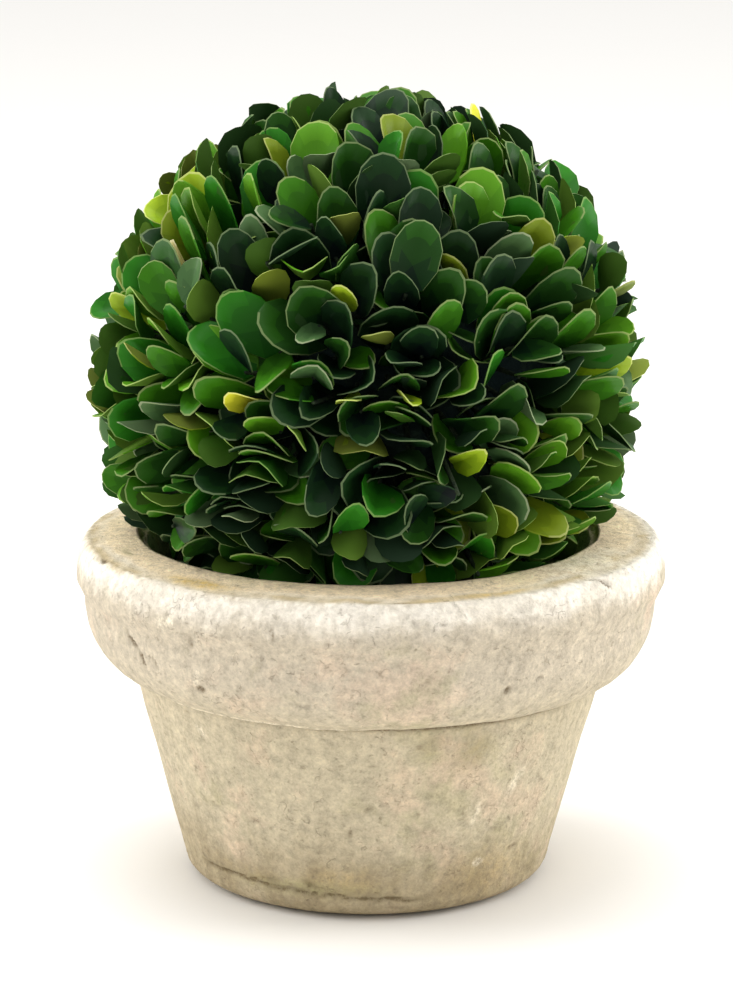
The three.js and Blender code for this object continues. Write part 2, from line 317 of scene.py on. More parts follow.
class Wire:
    """A shader socket used as a number: each operator adds its Math node."""

    def __init__(self, shader: "Shader", socket: bpy.types.NodeSocket) -> None:
        """Wraps a socket of that shader's nodes."""
        self.shader = shader
        self.socket = socket

    def __add__(self, other: Any) -> "Wire":
        """The sum."""
        return self.shader.maths("ADD", self, other)

    def __sub__(self, other: Any) -> "Wire":
        """The difference."""
        return self.shader.maths("SUBTRACT", self, other)

    def __rsub__(self, other: Any) -> "Wire":
        """The difference from a number on the left."""
        return self.shader.maths("SUBTRACT", other, self)

    def __mul__(self, other: Any) -> "Wire":
        """The product."""
        return self.shader.maths("MULTIPLY", self, other)

    def __pow__(self, other: Any) -> "Wire":
        """The power."""
        return self.shader.maths("POWER", self, other)

    def __abs__(self) -> "Wire":
        """The size without its sign."""
        return self.shader.maths("ABSOLUTE", self)

    __radd__ = __add__
    __rmul__ = __mul__

    def ease(self, low: float, high: float) -> "Wire":
        """A smooth step of it: 0 at low and below, 1 at high and above."""
        settings = {"interpolation_type": "SMOOTHSTEP"}
        inputs = {0: self, 1: low, 2: high, 3: 0.0, 4: 1.0}
        return self.shader.wire("ShaderNodeMapRange", settings, inputs)


class Shader:
    """A node material while it is being written."""

    def __init__(self, name: str) -> None:
        """Starts a material with its main shader, and no other node."""
        self.material = bpy.data.materials.new(name)
        self.material.use_nodes = True
        self.tree = self.material.node_tree
        self.surface = self.tree.nodes["Principled BSDF"]

    def node(self, kind: str, settings: Settings = None, inputs: Inputs = None) -> bpy.types.Node:
        """Adds a node of any kind.

        Args:
            kind: The node's type.
            settings: Its own settings, which are set first.
            inputs: The values or links of its sockets, by number or name.

        Returns:
            The node.
        """
        made = self.tree.nodes.new(kind)
        for name, value in (settings or {}).items():
            setattr(made, name, value)
        for key, value in (inputs or {}).items():
            self.feed(made.inputs[key], value)
        return made

    def feed(self, socket: bpy.types.NodeSocket, value: Any) -> None:
        """Gives a socket a link where the value is a wire, and otherwise the value."""
        if isinstance(value, Wire):
            self.tree.links.new(value.socket, socket)
        else:
            socket.default_value = value

    def wire(
        self, kind: str, settings: Settings = None, inputs: Inputs = None, out: int | str = 0
    ) -> Wire:
        """Adds a node, and gives one of its outputs as a wire."""
        return Wire(self, self.node(kind, settings, inputs).outputs[out])

    def maths(self, operation: str, *values: Any) -> Wire:
        """A Math node on wires and numbers."""
        return self.wire("ShaderNodeMath", {"operation": operation}, dict(enumerate(values)))

    def place(self) -> Wire:
        """The place on the piece, in mm."""
        spot = self.wire("ShaderNodeTexCoord", out="Object")
        return self.stretched(spot, (1 / MM, 1 / MM, 1 / MM))

    def stretched(self, vector: Wire, shares: tuple[float, float, float]) -> Wire:
        """A vector with each of its parts multiplied."""
        return self.wire("ShaderNodeVectorMath", {"operation": "MULTIPLY"}, {0: vector, 1: shares})

    def parts(self, vector: Wire) -> tuple[Wire, Wire, Wire]:
        """The three parts of a vector."""
        made = self.node("ShaderNodeSeparateXYZ", inputs={0: vector})
        return tuple(Wire(self, out) for out in made.outputs)

    def attribute(self, name: str) -> Wire:
        """A number that the mesh holds at each point."""
        return self.wire("ShaderNodeAttribute", {"attribute_name": name}, out="Fac")

    def noise(self, vector: Wire, period: float, detail: float = 3, rough: float = 0.55) -> Wire:
        """Cloudy noise, about 0.5 in the middle, with a period in the vector's own units."""
        inputs = {"Vector": vector, "Scale": 1 / period, "Detail": detail, "Roughness": rough}
        return self.wire("ShaderNodeTexNoise", {"noise_dimensions": "3D"}, inputs)

    def blend(self, share: Any, first: Any, second: Any) -> Wire:
        """A colour between two: the first where the share is 0, the second where it is 1."""
        settings = {"data_type": "RGBA", "clamp_factor": True}
        return self.wire("ShaderNodeMix", settings, {0: share, 6: first, 7: second}, 2)

    def lit(self, colour: Wire, strength: Wire) -> Wire:
        """A colour made lighter or darker by a number."""
        inputs = {0: colour, "Scale": strength}
        return self.wire("ShaderNodeVectorMath", {"operation": "SCALE"}, inputs)

    def done(
        self, colour: Wire, roughness: Wire, height: Wire | None, specular: float
    ) -> bpy.types.Material:
        """Links what varies to the main shader, and closes the material.

        Args:
            colour: The base colour.
            roughness: The roughness.
            height: The relief in mm for the bump, or none.
            specular: The level of the plain reflection, the same all over.

        Returns:
            The material.
        """
        self.feed(self.surface.inputs["Base Color"], colour)
        self.feed(self.surface.inputs["Roughness"], roughness)
        self.surface.inputs["Specular IOR Level"].default_value = specular
        if height is not None:
            bump = self.node(
                "ShaderNodeBump", inputs={"Strength": 1.0, "Distance": MM, "Height": height}
            )
            self.feed(self.surface.inputs["Normal"], Wire(self, bump.outputs[0]))
        return self.material


# Finishes


@dataclass(frozen=True)
class ClayFinish:
    """Weathered cast clay: sandy cream, chalky and with a painted highlight on the rim's
    shoulder, earthy and darker by painted shade towards the foot.
    """

    body: Colour = (198, 186, 159)
    rim: Colour = (201, 189, 168)
    shoulder: Colour = (250, 243, 230)
    top: Colour = (252, 229, 190)
    ochre: Colour = (212, 182, 114)
    line: Colour = (190, 164, 108)
    pink: Colour = (222, 192, 166)
    moss: Colour = (172, 164, 124)
    earth: Colour = (150, 131, 96)
    hollow: Colour = (98, 82, 58)
    chalk: Colour = (236, 225, 202)
    specular: float = 0.2

    def material(self, pot: "Pot") -> bpy.types.Material:
        """Writes the shader: tones laid one over another by height, by noise and by blemish."""
        s = Shader("aged_clay")
        place = s.place()
        x, y, z = s.parts(place)
        radius = (x * x + y * y) ** 0.5
        drift = s.noise(place, 34, 2) - 0.5
        cloud = s.noise(place, 9, 4, 0.6) - 0.5
        mottle = s.noise(place, 1.75, 4, 0.62) - 0.5
        grain = s.noise(place, 0.55, 3, 0.7) - 0.5
        streak = s.noise(s.stretched(place, (1, 1, 0.09)), 4.5, 3, 0.6) - 0.5
        fleck = s.noise(place, 1.5, 2, 0.5)
        vein = s.noise(place, 6.5, 3, 0.6) - 0.5

        edge = pot.crease[0]
        # Darker towards the foot: partly earthy staining, partly painted shade where the light falls
        # off low on the wall
        foot = 1 - (z + cloud * 16 + drift * 24 + streak * 18).ease(-4, 25)
        shelf = z.ease(pot.height - 2.6, pot.height - 1.6)
        outward = (radius + cloud * 5 + drift * 5 + mottle * 2).ease(edge - 4.5, edge + 0.4)
        crown = (z + cloud * 7 + mottle * 2).ease(pot.height - 8.5, pot.height - 3)
        # The pale shoulder band: partly a chalky wash, partly a painted highlight where the rim's top
        # catches the light
        pale = crown * outward * (0.5 + (drift * 1.6 + mottle).ease(-0.3, 0.3) * 0.4)
        gap = abs(radius + cloud * 4 + mottle * 1.5 - (edge - 1.0))
        ring = (1 - gap.ease(0.1, 2.4)) * shelf * (drift + cloud * 0.5).ease(-0.2, 0.08)
        # The chalky marks, with a painted highlight along the neck's flash ridge
        chalk = (s.attribute("chalk") * (1 + mottle * 4.5 + grain * 3)).ease(0.05, 1.3)
        hair = (1 - abs(vein).ease(0.002, 0.012)) * (fleck + cloud).ease(0.56, 0.64)
        speck = (fleck + grain * 0.3).ease(0.64, 0.74) * 0.27
        # Darkened hollows: darker pits and strokes, painted shadow in the neck's groove, and the
        # foot's groove darkened too
        hollows_darkened = s.attribute("hollow") * (1 + mottle * 2.2 + grain * 2.2)
        hollows_darkened = hollows_darkened.ease(0.12, 0.95) * 0.85
        dark = s.maths("MAXIMUM", s.maths("MAXIMUM", speck, hair * 0.2), hollows_darkened)

        # Each tone over those before it, by its share
        tones = (
            (z.ease(38, 56), self.rim),
            ((cloud + drift).ease(0.05, 0.3) * 0.34, self.pink),
            ((drift - cloud).ease(0.06, 0.3) * 0.4, self.moss),
            (foot * 0.66, self.earth),
            ((1 - outward) * shelf * 0.85, self.top),
            (pale, self.shoulder),
            (ring * 0.7, self.line),
            (s.attribute("ochre") * (0.75 + mottle * 2), self.ochre),
            (s.attribute("moss") * (0.6 + mottle * 2), self.moss),
            (s.attribute("earth") * (0.7 + mottle * 2), self.earth),
            (chalk * 0.7, self.chalk),
            (dark, self.hollow),
        )
        colour: Any = tint(self.body)
        for share, tone in tones:
            colour = s.blend(share, colour, tint(tone))
        shade = 1 + (grain * 0.62 + mottle) * (1 - pale * 0.6) + streak * 0.4 + cloud * 0.12
        relief = grain * 0.18 + mottle * 0.42 + cloud * 0.25 - speck * 0.3 - hair * 0.12
        return s.done(s.lit(colour, shade), 0.9 + mottle * 0.15, relief, self.specular)


@dataclass(frozen=True)
class FibreFinish:
    """The dark dry fibre that fills the pot and packs the ball's core."""

    name: str
    dark: Colour
    light: Colour
    period: float

    def material(self) -> bpy.types.Material:
        """Writes the shader: matted strands, from noise stretched two ways and crossed."""
        s = Shader(self.name)
        place = s.place()
        one = s.noise(s.stretched(place, (1, 0.22, 0.6)), self.period, 4, 0.65)
        other = s.noise(s.stretched(place, (0.25, 1, 0.5)), self.period, 4, 0.65)
        clump = s.noise(place, self.period * 6, 3)
        strand = s.maths("MAXIMUM", one, other)
        colour = s.blend((strand + clump - 0.5).ease(0.45, 0.8), tint(self.dark), tint(self.light))
        return s.done(colour, 0.85 + clump * 0.2, strand * 0.9 + clump * 0.6, 0.15)


@dataclass(frozen=True)
class BarkFinish:
    """Grey-brown bark with fine upright furrows."""

    dark: Colour = (58, 46, 32)
    light: Colour = (132, 114, 86)
    lichen: Colour = (120, 122, 92)

    def material(self) -> bpy.types.Material:
        """Writes the shader: noise stretched along the stem, with paler and greener patches."""
        s = Shader("bark")
        place = s.place()
        furrow = s.noise(s.stretched(place, (1, 1, 0.18)), 1.1, 4, 0.65)
        patch = s.noise(place, 5, 3)
        colour = s.blend(furrow.ease(0.36, 0.64), tint(self.dark), tint(self.light))
        colour = s.blend(patch.ease(0.55, 0.7) * 0.5, colour, tint(self.lichen))
        return s.done(colour, 0.75 + furrow * 0.2, furrow * 0.8 + patch * 0.3, 0.25)


class Tone(Enum):
    """The tones of the ball's leaves."""

    DEEP = "deep"
    DARK = "dark"
    MIDDLE = "middle"
    FRESH = "fresh"
    GRASS = "grass"
    OLIVE = "olive"
    GREY = "grey"
    LIME = "lime"
    YELLOW = "yellow"
    CREAM = "cream"


@dataclass(frozen=True)
class LeafFinish:
    """One tone of preserved leaf: its base, its margin, its under face and its pale rim,
    a painted highlight on part of its edge.
    """

    base: Colour
    margin: Colour
    under: Colour
    rim: Colour
    share: float
    roughness: float = 0.4
    specular: float = 0.12
    sheen: float = 0.4
    sheen_roughness: float = 0.35
    under_duller: float = 0.15
    rim_duller: float = 0.2

    def materials(self, tone: Tone) -> list[bpy.types.Material]:
        """Plain opaque finishes, with nothing that has a place, since each piece holds hundreds.

        Args:
            tone: The tone's name.

        Returns:
            The finishes from the base to the margin in four steps, of the under face and the rim.
        """
        faces: dict[str, tuple[Colour, float]] = {}
        # From the base to the margin in four steps: the darker base is partly painted shade at the
        # leaf's root
        for step in range(4):
            mixed = tuple(round(b + (m - b) * step / 3) for b, m in zip(self.base, self.margin))
            faces[f"step{step}"] = (mixed, 0.0)
        # The rim: a pale painted highlight, given to the arc of the edge that each leaf's drawn
        # direction picks
        faces.update(under=(self.under, self.under_duller), rim=(self.rim, self.rim_duller))
        made = []
        for face, (colour, duller) in faces.items():
            shader = Shader(f"leaf_{tone.value}_{face}")
            values = {
                "Base Color": tint(colour),
                "Roughness": self.roughness + duller,
                "Specular IOR Level": self.specular,
                "Sheen Weight": self.sheen,
                "Sheen Roughness": self.sheen_roughness,
                "Sheen Tint": tint(self.margin),
            }
            for socket, value in values.items():
                shader.surface.inputs[socket].default_value = value
            made.append(shader.material)
        return made


# Columns: base, margin, under face, rim and share; the dark bases are partly painted shade
LEAF_FINISHES: dict[Tone, LeafFinish] = {
    Tone.DEEP: LeafFinish((11, 20, 22), (24, 54, 22), (30, 50, 32), (96, 114, 78), 0.29),
    Tone.DARK: LeafFinish((14, 36, 20), (36, 80, 19), (40, 68, 32), (108, 128, 80), 0.29),
    Tone.MIDDLE: LeafFinish((36, 82, 14), (58, 118, 18), (64, 96, 32), (122, 144, 82), 0.2),
    Tone.GREY: LeafFinish((56, 86, 50), (76, 108, 62), (86, 108, 72), (138, 152, 114), 0.035),
    Tone.FRESH: LeafFinish((64, 118, 20), (88, 146, 28), (90, 122, 42), (146, 170, 90), 0.11),
    Tone.GRASS: LeafFinish((28, 88, 18), (44, 118, 24), (54, 100, 34), (114, 148, 76), 0.065),
    Tone.OLIVE: LeafFinish((92, 112, 20), (118, 138, 28), (102, 114, 44), (154, 162, 88), 0.025),
    Tone.LIME: LeafFinish((116, 148, 22), (154, 182, 36), (138, 154, 54), (190, 202, 108), 0.006),
    Tone.YELLOW: LeafFinish((192, 194, 40), (222, 220, 58), (192, 190, 76), (224, 224, 124), 0.002),
    Tone.CREAM: LeafFinish((214, 198, 112), (232, 218, 140), (200, 184, 110), (236, 226, 170), 0.0),
}


# Pot


class Blemish(Enum):
    """What a mark on the clay is, and so which of the mesh's numbers it goes into."""

    HOLLOW = "hollow"
    CHALK = "chalk"
    OCHRE = "ochre"
    MOSS = "moss"
    EARTH = "earth"


FULL = 0.3


class Mark(NamedTuple):
    """A mark at an angle round the pot, in degrees, and a distance up its wall, in mm.

    The depth is that of a hollow; on any other kind it sets the strength, FULL being all of it.
    """

    turn: float
    run: float
    length: float
    width: float
    slant: float = 0.0
    depth: float = 0.3


# The marks, one by one: turn, run, length and width, then slant and depth where they differ
MARKS: dict[Blemish, tuple[tuple[float, ...], ...]] = {
    Blemish.HOLLOW: (
        (-125.9, 71.2, 3.4, 1.5, 75, 0.35), (-124.9, 61.6, 2.2, 1.7, 10, 0.6),
        (-108.6, 76.3, 1.8, 1.2, 40, 0.3), (-126.5, 75.1, 1.6, 1.1, 0, 0.3),
        (-156.9, 82, 3, 1.8, 0, 0.6), (-76.9, 77.5, 2, 1.1, 10, 0.3),
        (-72.2, 73.8, 2, 1.2, 20, 0.25), (-79.2, 66.7, 1.4, 1.1, 0, 0.3),
        (-62.6, 63.4, 1.8, 1.4, 60, 0.6), (-122.1, 25.3, 2.4, 1.1, -15, 0.35),
        (-89.9, 30.1, 2.6, 1.4, 30, 0.35), (-94.9, 24.4, 2.4, 1.2, 80, 0.35),
        (-89, 40.5, 2.4, 1, 0, 0.3), (-96.7, 40.3, 1.4, 1.1, 0, 0.3),
        (-43.7, 17.1, 3.4, 1.4, 10, 0.4), (-72.1, 24.6, 1.4, 1.1, 0, 0.3),
        (-143, 67.6, 4.6, 1.1, -30, 0.6), (-140.2, 64.8, 3.8, 1.1, -70, 0.6),
        (-136.3, 64.7, 3, 0.9, -60, 0.4), (-135.3, 26.5, 3.6, 0.9, -30, 0.3),
        (-84.5, 83, 7, 0.9, 0, 0.4), (-42, 82.4, 4, 0.8, -30, 0.4),
        (-39, 80.4, 4.4, 0.95, -40, 0.7), (-158, 88.2, 5, 0.8, 24, 0.22),
        (-161, 87, 3.6, 0.7, 10, 0.18),
    ),
    Blemish.OCHRE: (
        (-128.2, 85.6, 15, 4.4, 0, 0.32), (-66, 84.2, 18, 2, 0, 0.26),
        (-79, 83.2, 14, 1.6, 0, 0.18), (-52.6, 13, 20, 11, 0, 0.07), (-26.3, 86.4, 5, 2.4),
        (-98, 13, 14, 7, 0, 0.1),
    ),
    Blemish.EARTH: (
        (-58, 12, 24, 12, 0, 0.1), (-88, 13, 26, 7, 0, 0.08), (-129, 13, 20, 5, -8, 0.14),
        (-64, 43, 8, 11, 0, 0.15), (-74, 46, 8, 5, 20, 0.12),
    ),
    Blemish.MOSS: (
        (-159, 87.9, 6, 2), (-62.9, 41.9, 5, 6, 0, 0.16), (-75, 42, 9, 4, 0, 0.16),
        (-110, 11, 30, 4),
    ),
    Blemish.CHALK: (
        (-33, 87.5, 30, 11, 0, 0.34), (-48.4, 33, 8, 3, 65, 0.2), (-60.2, 26.9, 7, 1.6, 80, 0.2),
        (-56.7, 15.7, 2.6, 2.2), (-125.5, 64.2, 3.6, 2, 70), (-135, 44, 4, 1.6, -40),
        (-132, 74.5, 5, 3, 20),
    ),
}


def bell(values: Array, width: Array | float) -> Array:
    """A bell that is 1 at 0 and falls off over a width."""
    return np.exp(-((values / width) ** 2))


def turned_from(middle: float, turn: Array) -> Array:
    """How far angles in degrees lie from one, -180 to 180."""
    return (turn - middle + 180) % 360 - 180


@dataclass(frozen=True)
class Seams:
    """The thin lines that go round the pot. Places and widths in mm, turns in degrees."""

    flash_rise: float = 1.5
    flash_width: float = 0.6
    flash_turn: float = -115.0
    flash_reach: float = 11.0
    groove_drop: float = 1.9
    groove_width: float = 0.6
    foot_run: float = 9.8
    foot_width: float = 0.62
    foot_turn: float = -112.0
    foot_ends: tuple[float, float] = (30.0, 48.0)
    foot_slope: float = 0.035
    twin_rise: float = 1.5
    twin_width: float = 0.5

    def lines(self, turn: Array, run: Array, neck_run: float) -> tuple[Array, Array, Array]:
        """A thin flash and a groove at the neck, and a doubled groove at the foot's front.

        Each is a bell across the wall whose strength and height wander round the pot.

        Args:
            turn: Each column's angle in degrees.
            run: Each row's distance up the wall.
            neck_run: The neck's distance up the wall.

        Returns:
            The flash's strength, the neck groove's and the foot groove's.
        """
        up, angle = run[:, None], np.radians(turn)
        circle = np.stack([np.cos(angle), np.sin(angle), np.zeros_like(angle)], 1)
        broad = layered_noise(circle * 10, 5.5, 3, 71)
        fine = layered_noise(circle * 60, 3.0, 3, 75)
        far = np.abs(turned_from(self.flash_turn, turn))
        flash = ease(broad + 1.2 * np.exp(-((far / self.flash_reach) ** 4)), 0.1, 0.5)
        cut = 0.6 + 0.4 * ease(0.35 * fine - 0.8 * broad + 0.7, 0.0, 0.6)
        wander = 0.35 * fine + 0.5 * broad
        level = up - (neck_run + self.flash_rise + wander * 0.6)
        ridge = bell(level, self.flash_width) * flash
        groove = bell(level + self.groove_drop, self.groove_width + 0.25 * fine) * cut
        along = turned_from(self.foot_turn, turn)
        front = np.maximum(1 - ease(np.abs(along), *self.foot_ends), ease(broad, 0.15, 0.45) * 0.7)
        tilt = self.foot_slope * along * (front > 0)
        level = up - (self.foot_run + 0.9 * broad + 0.7 * fine - tilt)
        foot = bell(level, self.foot_width) * ease(fine, -1.1, -0.1)
        twin = bell(level - self.twin_rise - 0.4 * broad, self.twin_width) * ease(-fine, -0.2, 0.5)
        return ridge, groove, np.maximum(foot, twin * 0.7) * front


@dataclass
class Pot:
    """The cast pot: a tapered body, a thick rounded rim over a crease, and a soft lip. In mm."""

    height: float = 71.5
    rim_radius: float = 60.0
    foot_radius: float = 31.0
    foot_edge: tuple[float, float] = (37.5, 4.2)
    neck: tuple[float, float] = (48.3, 44.4)
    waist: tuple[float, float] = (58.3, 58.8)
    widest_height: float = 62.5
    crease: tuple[float, float] = (57.0, 70.6)
    lip_radius: float = 44.9
    lip_round: float = 1.8
    floor_radius: float = 29.5
    floor_height: float = 9.0
    columns: int = 552
    pits: int = 170
    strokes: int = 60
    lean: float = 0.7
    neck_tilt: float = 0.016
    neck_nod: float = 0.024
    neck_depth: float = 6.0
    lean_radii: tuple[float, float] = (47.5, 54.0)
    lean_heights: tuple[float, float] = (40.0, 68.0)
    below_neck: tuple[float, float] = (30.0, 44.0)
    above_neck: tuple[float, float] = (50.0, 64.0)
    seams: Seams = Seams()
    finish: ClayFinish = ClayFinish()

    @property
    def lip(self) -> tuple[float, float]:
        """Where the soft lip ends and the inner wall begins."""
        return self.lip_radius, self.height - self.lip_round

    def outline(self) -> Array:
        """The profile's radii and heights, from the underside's middle to the floor's middle."""
        foot = (self.foot_radius, 0.0)
        widest = (self.rim_radius, self.widest_height)
        lip_top = (self.lip_radius + self.lip_round, self.height)
        neck_in = (self.neck[0] - 0.28, self.neck[1] - 1.2)
        floor_edge = (self.floor_radius, self.floor_height)
        parts = (
            (0.0, 0.0),
            straight((0.0, 0.0), foot, 5),
            quarter(foot, self.foot_edge, 12, True),
            straight(self.foot_edge, neck_in, 56),
            straight(neck_in, self.neck, 4),
            quarter(self.neck, self.waist, 38, True),
            straight(self.waist, widest, 8),
            quarter(widest, self.crease, 15, False),
            straight(self.crease, lip_top, 18),
            quarter(lip_top, self.lip, 6, False),
            straight(self.lip, floor_edge, 14),
            straight(floor_edge, (0.0, self.floor_height), 4),
        )
        return np.vstack(parts)

    def fields(self, lathe: Lathe, turn: Array, run: Array) -> dict[Blemish, Array]:
        """How strongly each kind of mark shows at each point.

        A mark is a bell in its own length and width, turned by its slant, on the unrolled wall:
        its two coordinates are the angle from the mark times the radius, and the way up.

        Args:
            lathe: The profile that is turned.
            turn: Each column's angle in degrees.
            run: Each row's distance up the wall.

        Returns:
            For each kind, a share at each row and column, and for hollows their depth in mm.
        """
        made = {kind: np.zeros((len(run), len(turn))) for kind in Blemish}
        fray = layered_noise(lathe.spots, 1.8, 2, 61) * 0.35
        marks = [(kind, Mark(*row)) for kind, rows in MARKS.items() for row in rows]
        marks += [(Blemish.HOLLOW, mark) for mark in self.scattered()]
        for kind, mark in marks:
            u = np.radians(turned_from(mark.turn, turn))[None, :] * lathe.radius[:, None]
            v = np.broadcast_to((run - mark.run)[:, None], u.shape)
            angle = math.radians(mark.slant)
            long = (u * math.cos(angle) + v * math.sin(angle)) / (mark.length / 2)
            wide = (v * math.cos(angle) - u * math.sin(angle)) / (mark.width / 2)
            share = np.exp(-((long**2 + wide**2) ** 1.5) * (1 + fray))
            share = share * (mark.depth if kind is Blemish.HOLLOW else mark.depth / FULL)
            made[kind] = np.maximum(made[kind], share)
        return made

    def scattered(self) -> list[Mark]:
        """The small pits and strokes that cover the wall, dealt out by the seeded rule."""
        item = np.arange(self.pits + self.strokes)
        turn = chance(item, 21) * 360 - 180
        run = 6 + chance(item, 22) * 86
        stroke = item >= self.pits
        size = 0.7 + 1.2 * chance(item, 23) ** 2.5
        length = np.where(stroke, 2.2 + 4 * chance(item, 24), size * (1 + 1.4 * chance(item, 24)))
        width = np.where(stroke, 0.7 + 0.3 * chance(item, 25), size)
        slant = np.where(stroke, 20 + 50 * chance(item, 26), 180 * chance(item, 26))
        depth = np.where(stroke, 0.1, 0.07 + 0.25 * chance(item, 27) ** 2)
        rows = zip(turn, run, length, width, slant, depth)
        return [Mark(*(float(v) for v in row)) for row in rows]

    def build(self) -> None:
        """Turns the profile, and works the clay's unevenness, marks and seams into it.

        The strength of each kind of mark is held at the mesh's points, for the finish.
        """
        profile = self.outline()
        lathe = Lathe(profile, self.columns)
        step = np.hypot(*np.diff(profile, axis=0).T)
        run = np.concatenate([[0.0], np.cumsum(step)]) - self.foot_radius
        neck_run, lip_run = (
            float(run[np.argmin(np.hypot(*(profile - place).T))]) for place in (self.neck, self.lip)
        )
        turn = np.arange(self.columns) / self.columns * 360
        r, z, up, spots = lathe.radius, lathe.height, run[1:-1], lathe.spots
        fields = self.fields(lathe, turn, up)
        ridge, groove, foot = self.seams.lines(turn, up, neck_run)
        crease = np.exp(-((r - self.crease[0] + 0.3) ** 2) / 0.8) * (z > self.crease[1] - 1.6)
        relief = (
            0.42 * layered_noise(spots, 42, 2, 11)
            + 0.2 * layered_noise(spots, 9, 2, 21)
            + 0.07 * layered_noise(spots, 2.2, 2, 31)
            - fields[Blemish.HOLLOW]
            + 0.06 * fields[Blemish.CHALK]
            + 0.45 * ridge
            - 0.5 * groove
            - 0.5 * foot
            - 0.18 * crease[:, None]
        )
        outside = ease(z, 0.2, 2.2) * (up > 0) * (1 - 0.5 * ease(up, lip_run, lip_run + 4))
        shell = lathe.turned(relief * outside[:, None])
        self.pull_askew(shell.points)
        piece = mesh_piece("cast_pot", shell, [self.finish.material(self)])
        # Painted shadow in the neck's groove under the flash joins the pits' darkening; the foot's
        # groove is darkened too
        dark = np.maximum(1 - np.exp(-2.6 * fields[Blemish.HOLLOW]), groove * 0.85)
        shares = {
            Blemish.HOLLOW: np.maximum(dark, foot * 0.85),
            # Painted highlight: the flash ridge takes the pale chalky tone along its upper edge
            Blemish.CHALK: np.maximum(fields[Blemish.CHALK], ridge * 1.3),
            Blemish.OCHRE: fields[Blemish.OCHRE],
            Blemish.MOSS: np.maximum(fields[Blemish.MOSS], foot * 0.5),
            Blemish.EARTH: fields[Blemish.EARTH],
        }
        for kind, share in shares.items():
            held = piece.data.attributes.new(kind.value, "FLOAT", "POINT")
            whole = np.concatenate([share.reshape(-1), [0.0, 0.0]])
            held.data.foreach_set("value", whole.astype(np.float32))
        settle(piece, "pot")

    def pull_askew(self, points: Array) -> None:
        """Shifts the rim's outer part right, and tilts the neck down to the right and front."""
        x, y, z = points.T.copy()
        radius = np.hypot(x, y)
        points[:, 0] += self.lean * ease(radius, *self.lean_radii) * ease(z, *self.lean_heights)
        wall = radius > self.neck[0] - self.neck_depth
        sunk = (self.neck_tilt * x - self.neck_nod * y) * wall
        points[:, 2] -= sunk * ease(z, *self.below_neck) * (1 - ease(z, *self.above_neck))

    def wall_radius(self, height: Array | float) -> Array | float:
        """The inner wall's radius at a height between the floor and the lip."""
        rise = (height - self.floor_height) / (self.height - self.lip_round - self.floor_height)
        return self.floor_radius + (self.lip_radius - self.floor_radius) * rise


@dataclass
class Filling:
    """The dry fibre in the pot: it lies on the floor and domes up to the stem. In mm."""

    pot: Pot
    top: float = 60.0
    dome: float = 1.6
    gap: float = 0.3
    seat_radius: float = 7.6
    rows: int = 30
    columns: int = 240
    finish: FibreFinish = FibreFinish("dark_filling", (14, 11, 8), (62, 48, 32), 1.4)

    def build(self) -> None:
        """Turns the profile, with matted lumps on the part of its top outside the stem."""
        low = self.pot.floor_height + self.gap
        rim = self.top - self.dome
        edge = float(self.pot.wall_radius(rim)) - self.gap
        base = float(self.pot.wall_radius(low)) - self.gap
        t = np.arange(1, self.rows + 1) / self.rows
        rise = rim + self.dome * np.sin(t * np.pi / 2)
        parts = (
            (0.0, low),
            straight((0.0, low), (base, low), 3),
            straight((base, low), (edge, rim), 8),
            np.stack([edge + (self.seat_radius - edge) * t, rise], 1),
            straight((self.seat_radius, self.top), (0.0, self.top), 4),
        )
        lathe = Lathe(np.vstack(parts), self.columns)
        lumps = 0.5 * layered_noise(lathe.spots, 3.2, 4, 41) - 0.5
        inside = ease(lathe.radius, self.seat_radius, self.seat_radius + 3)
        on_top = (lathe.height > rim - 0.1) * inside * (1 - ease(lathe.radius, edge - 0.8, edge))
        shell = lathe.turned(lumps * on_top[:, None])
        piece = mesh_piece("dry_filling", shell, [self.finish.material()])
        settle(piece, "filling")


@dataclass
class Stem:
    """The short woody stem: flared on the filling, tapering into the ball's core. In mm."""

    foot: float = 60.3
    foot_radius: float = 5.6
    radius: float = 4.1
    tip_radius: float = 3.2
    flare: float = 5.0
    height: float = 31.0
    columns: int = 96
    finish: BarkFinish = BarkFinish()

    def profile(self, grown: float, rows: int) -> Array:
        """The stem's radii and heights from its foot to its tip, grown all round by an amount."""
        flared = (self.radius, self.foot + self.flare)
        foot, tip = (self.foot_radius, self.foot), (self.tip_radius, self.foot + self.height)
        side = np.vstack((foot, quarter(foot, flared, 8, False), straight(flared, tip, rows)))
        return side + (grown, 0.0)

    def build(self) -> None:
        """Turns the profile, and presses upright furrows and small knots into the bark."""
        tip = self.foot + self.height
        low = [(0.0, self.foot), (self.foot_radius * 0.5, self.foot)]
        high = [(self.tip_radius * 0.5, tip), (0.0, tip)]
        lathe = Lathe(np.vstack((low, self.profile(0.0, 40), high)), self.columns)
        even = np.full(len(lathe.height), 4.0)
        stretched = turned_grid(even, 0.22 * lathe.height, self.columns)
        furrows = -0.22 * np.abs(layered_noise(stretched, 1.6, 3, 51))
        knots = -0.2 * ease(layered_noise(stretched * (1, 1, 4), 4.0, 2, 55), 0.2, 0.7)
        sides = ease(lathe.height, self.foot, self.foot + 0.8) * (lathe.height < tip - 0.1)
        shell = lathe.turned((furrows + knots) * sides[:, None])
        piece = mesh_piece("bark_stem", shell, [self.finish.material()])
        settle(piece, "stem")


# Crown


# The points of a leaf that the tests look at: so many on its edge, then these up its middle
EDGE_POINTS = 11
MIDRIB = (0.25, 0.55, 0.85)
HALFWAY = EDGE_POINTS + 1
# The share of a leaf next to its root that they leave out, and how far beyond its edges a
# leaf's face is carried on for them
ROOT_PART, BEYOND = 0.1, 0.1


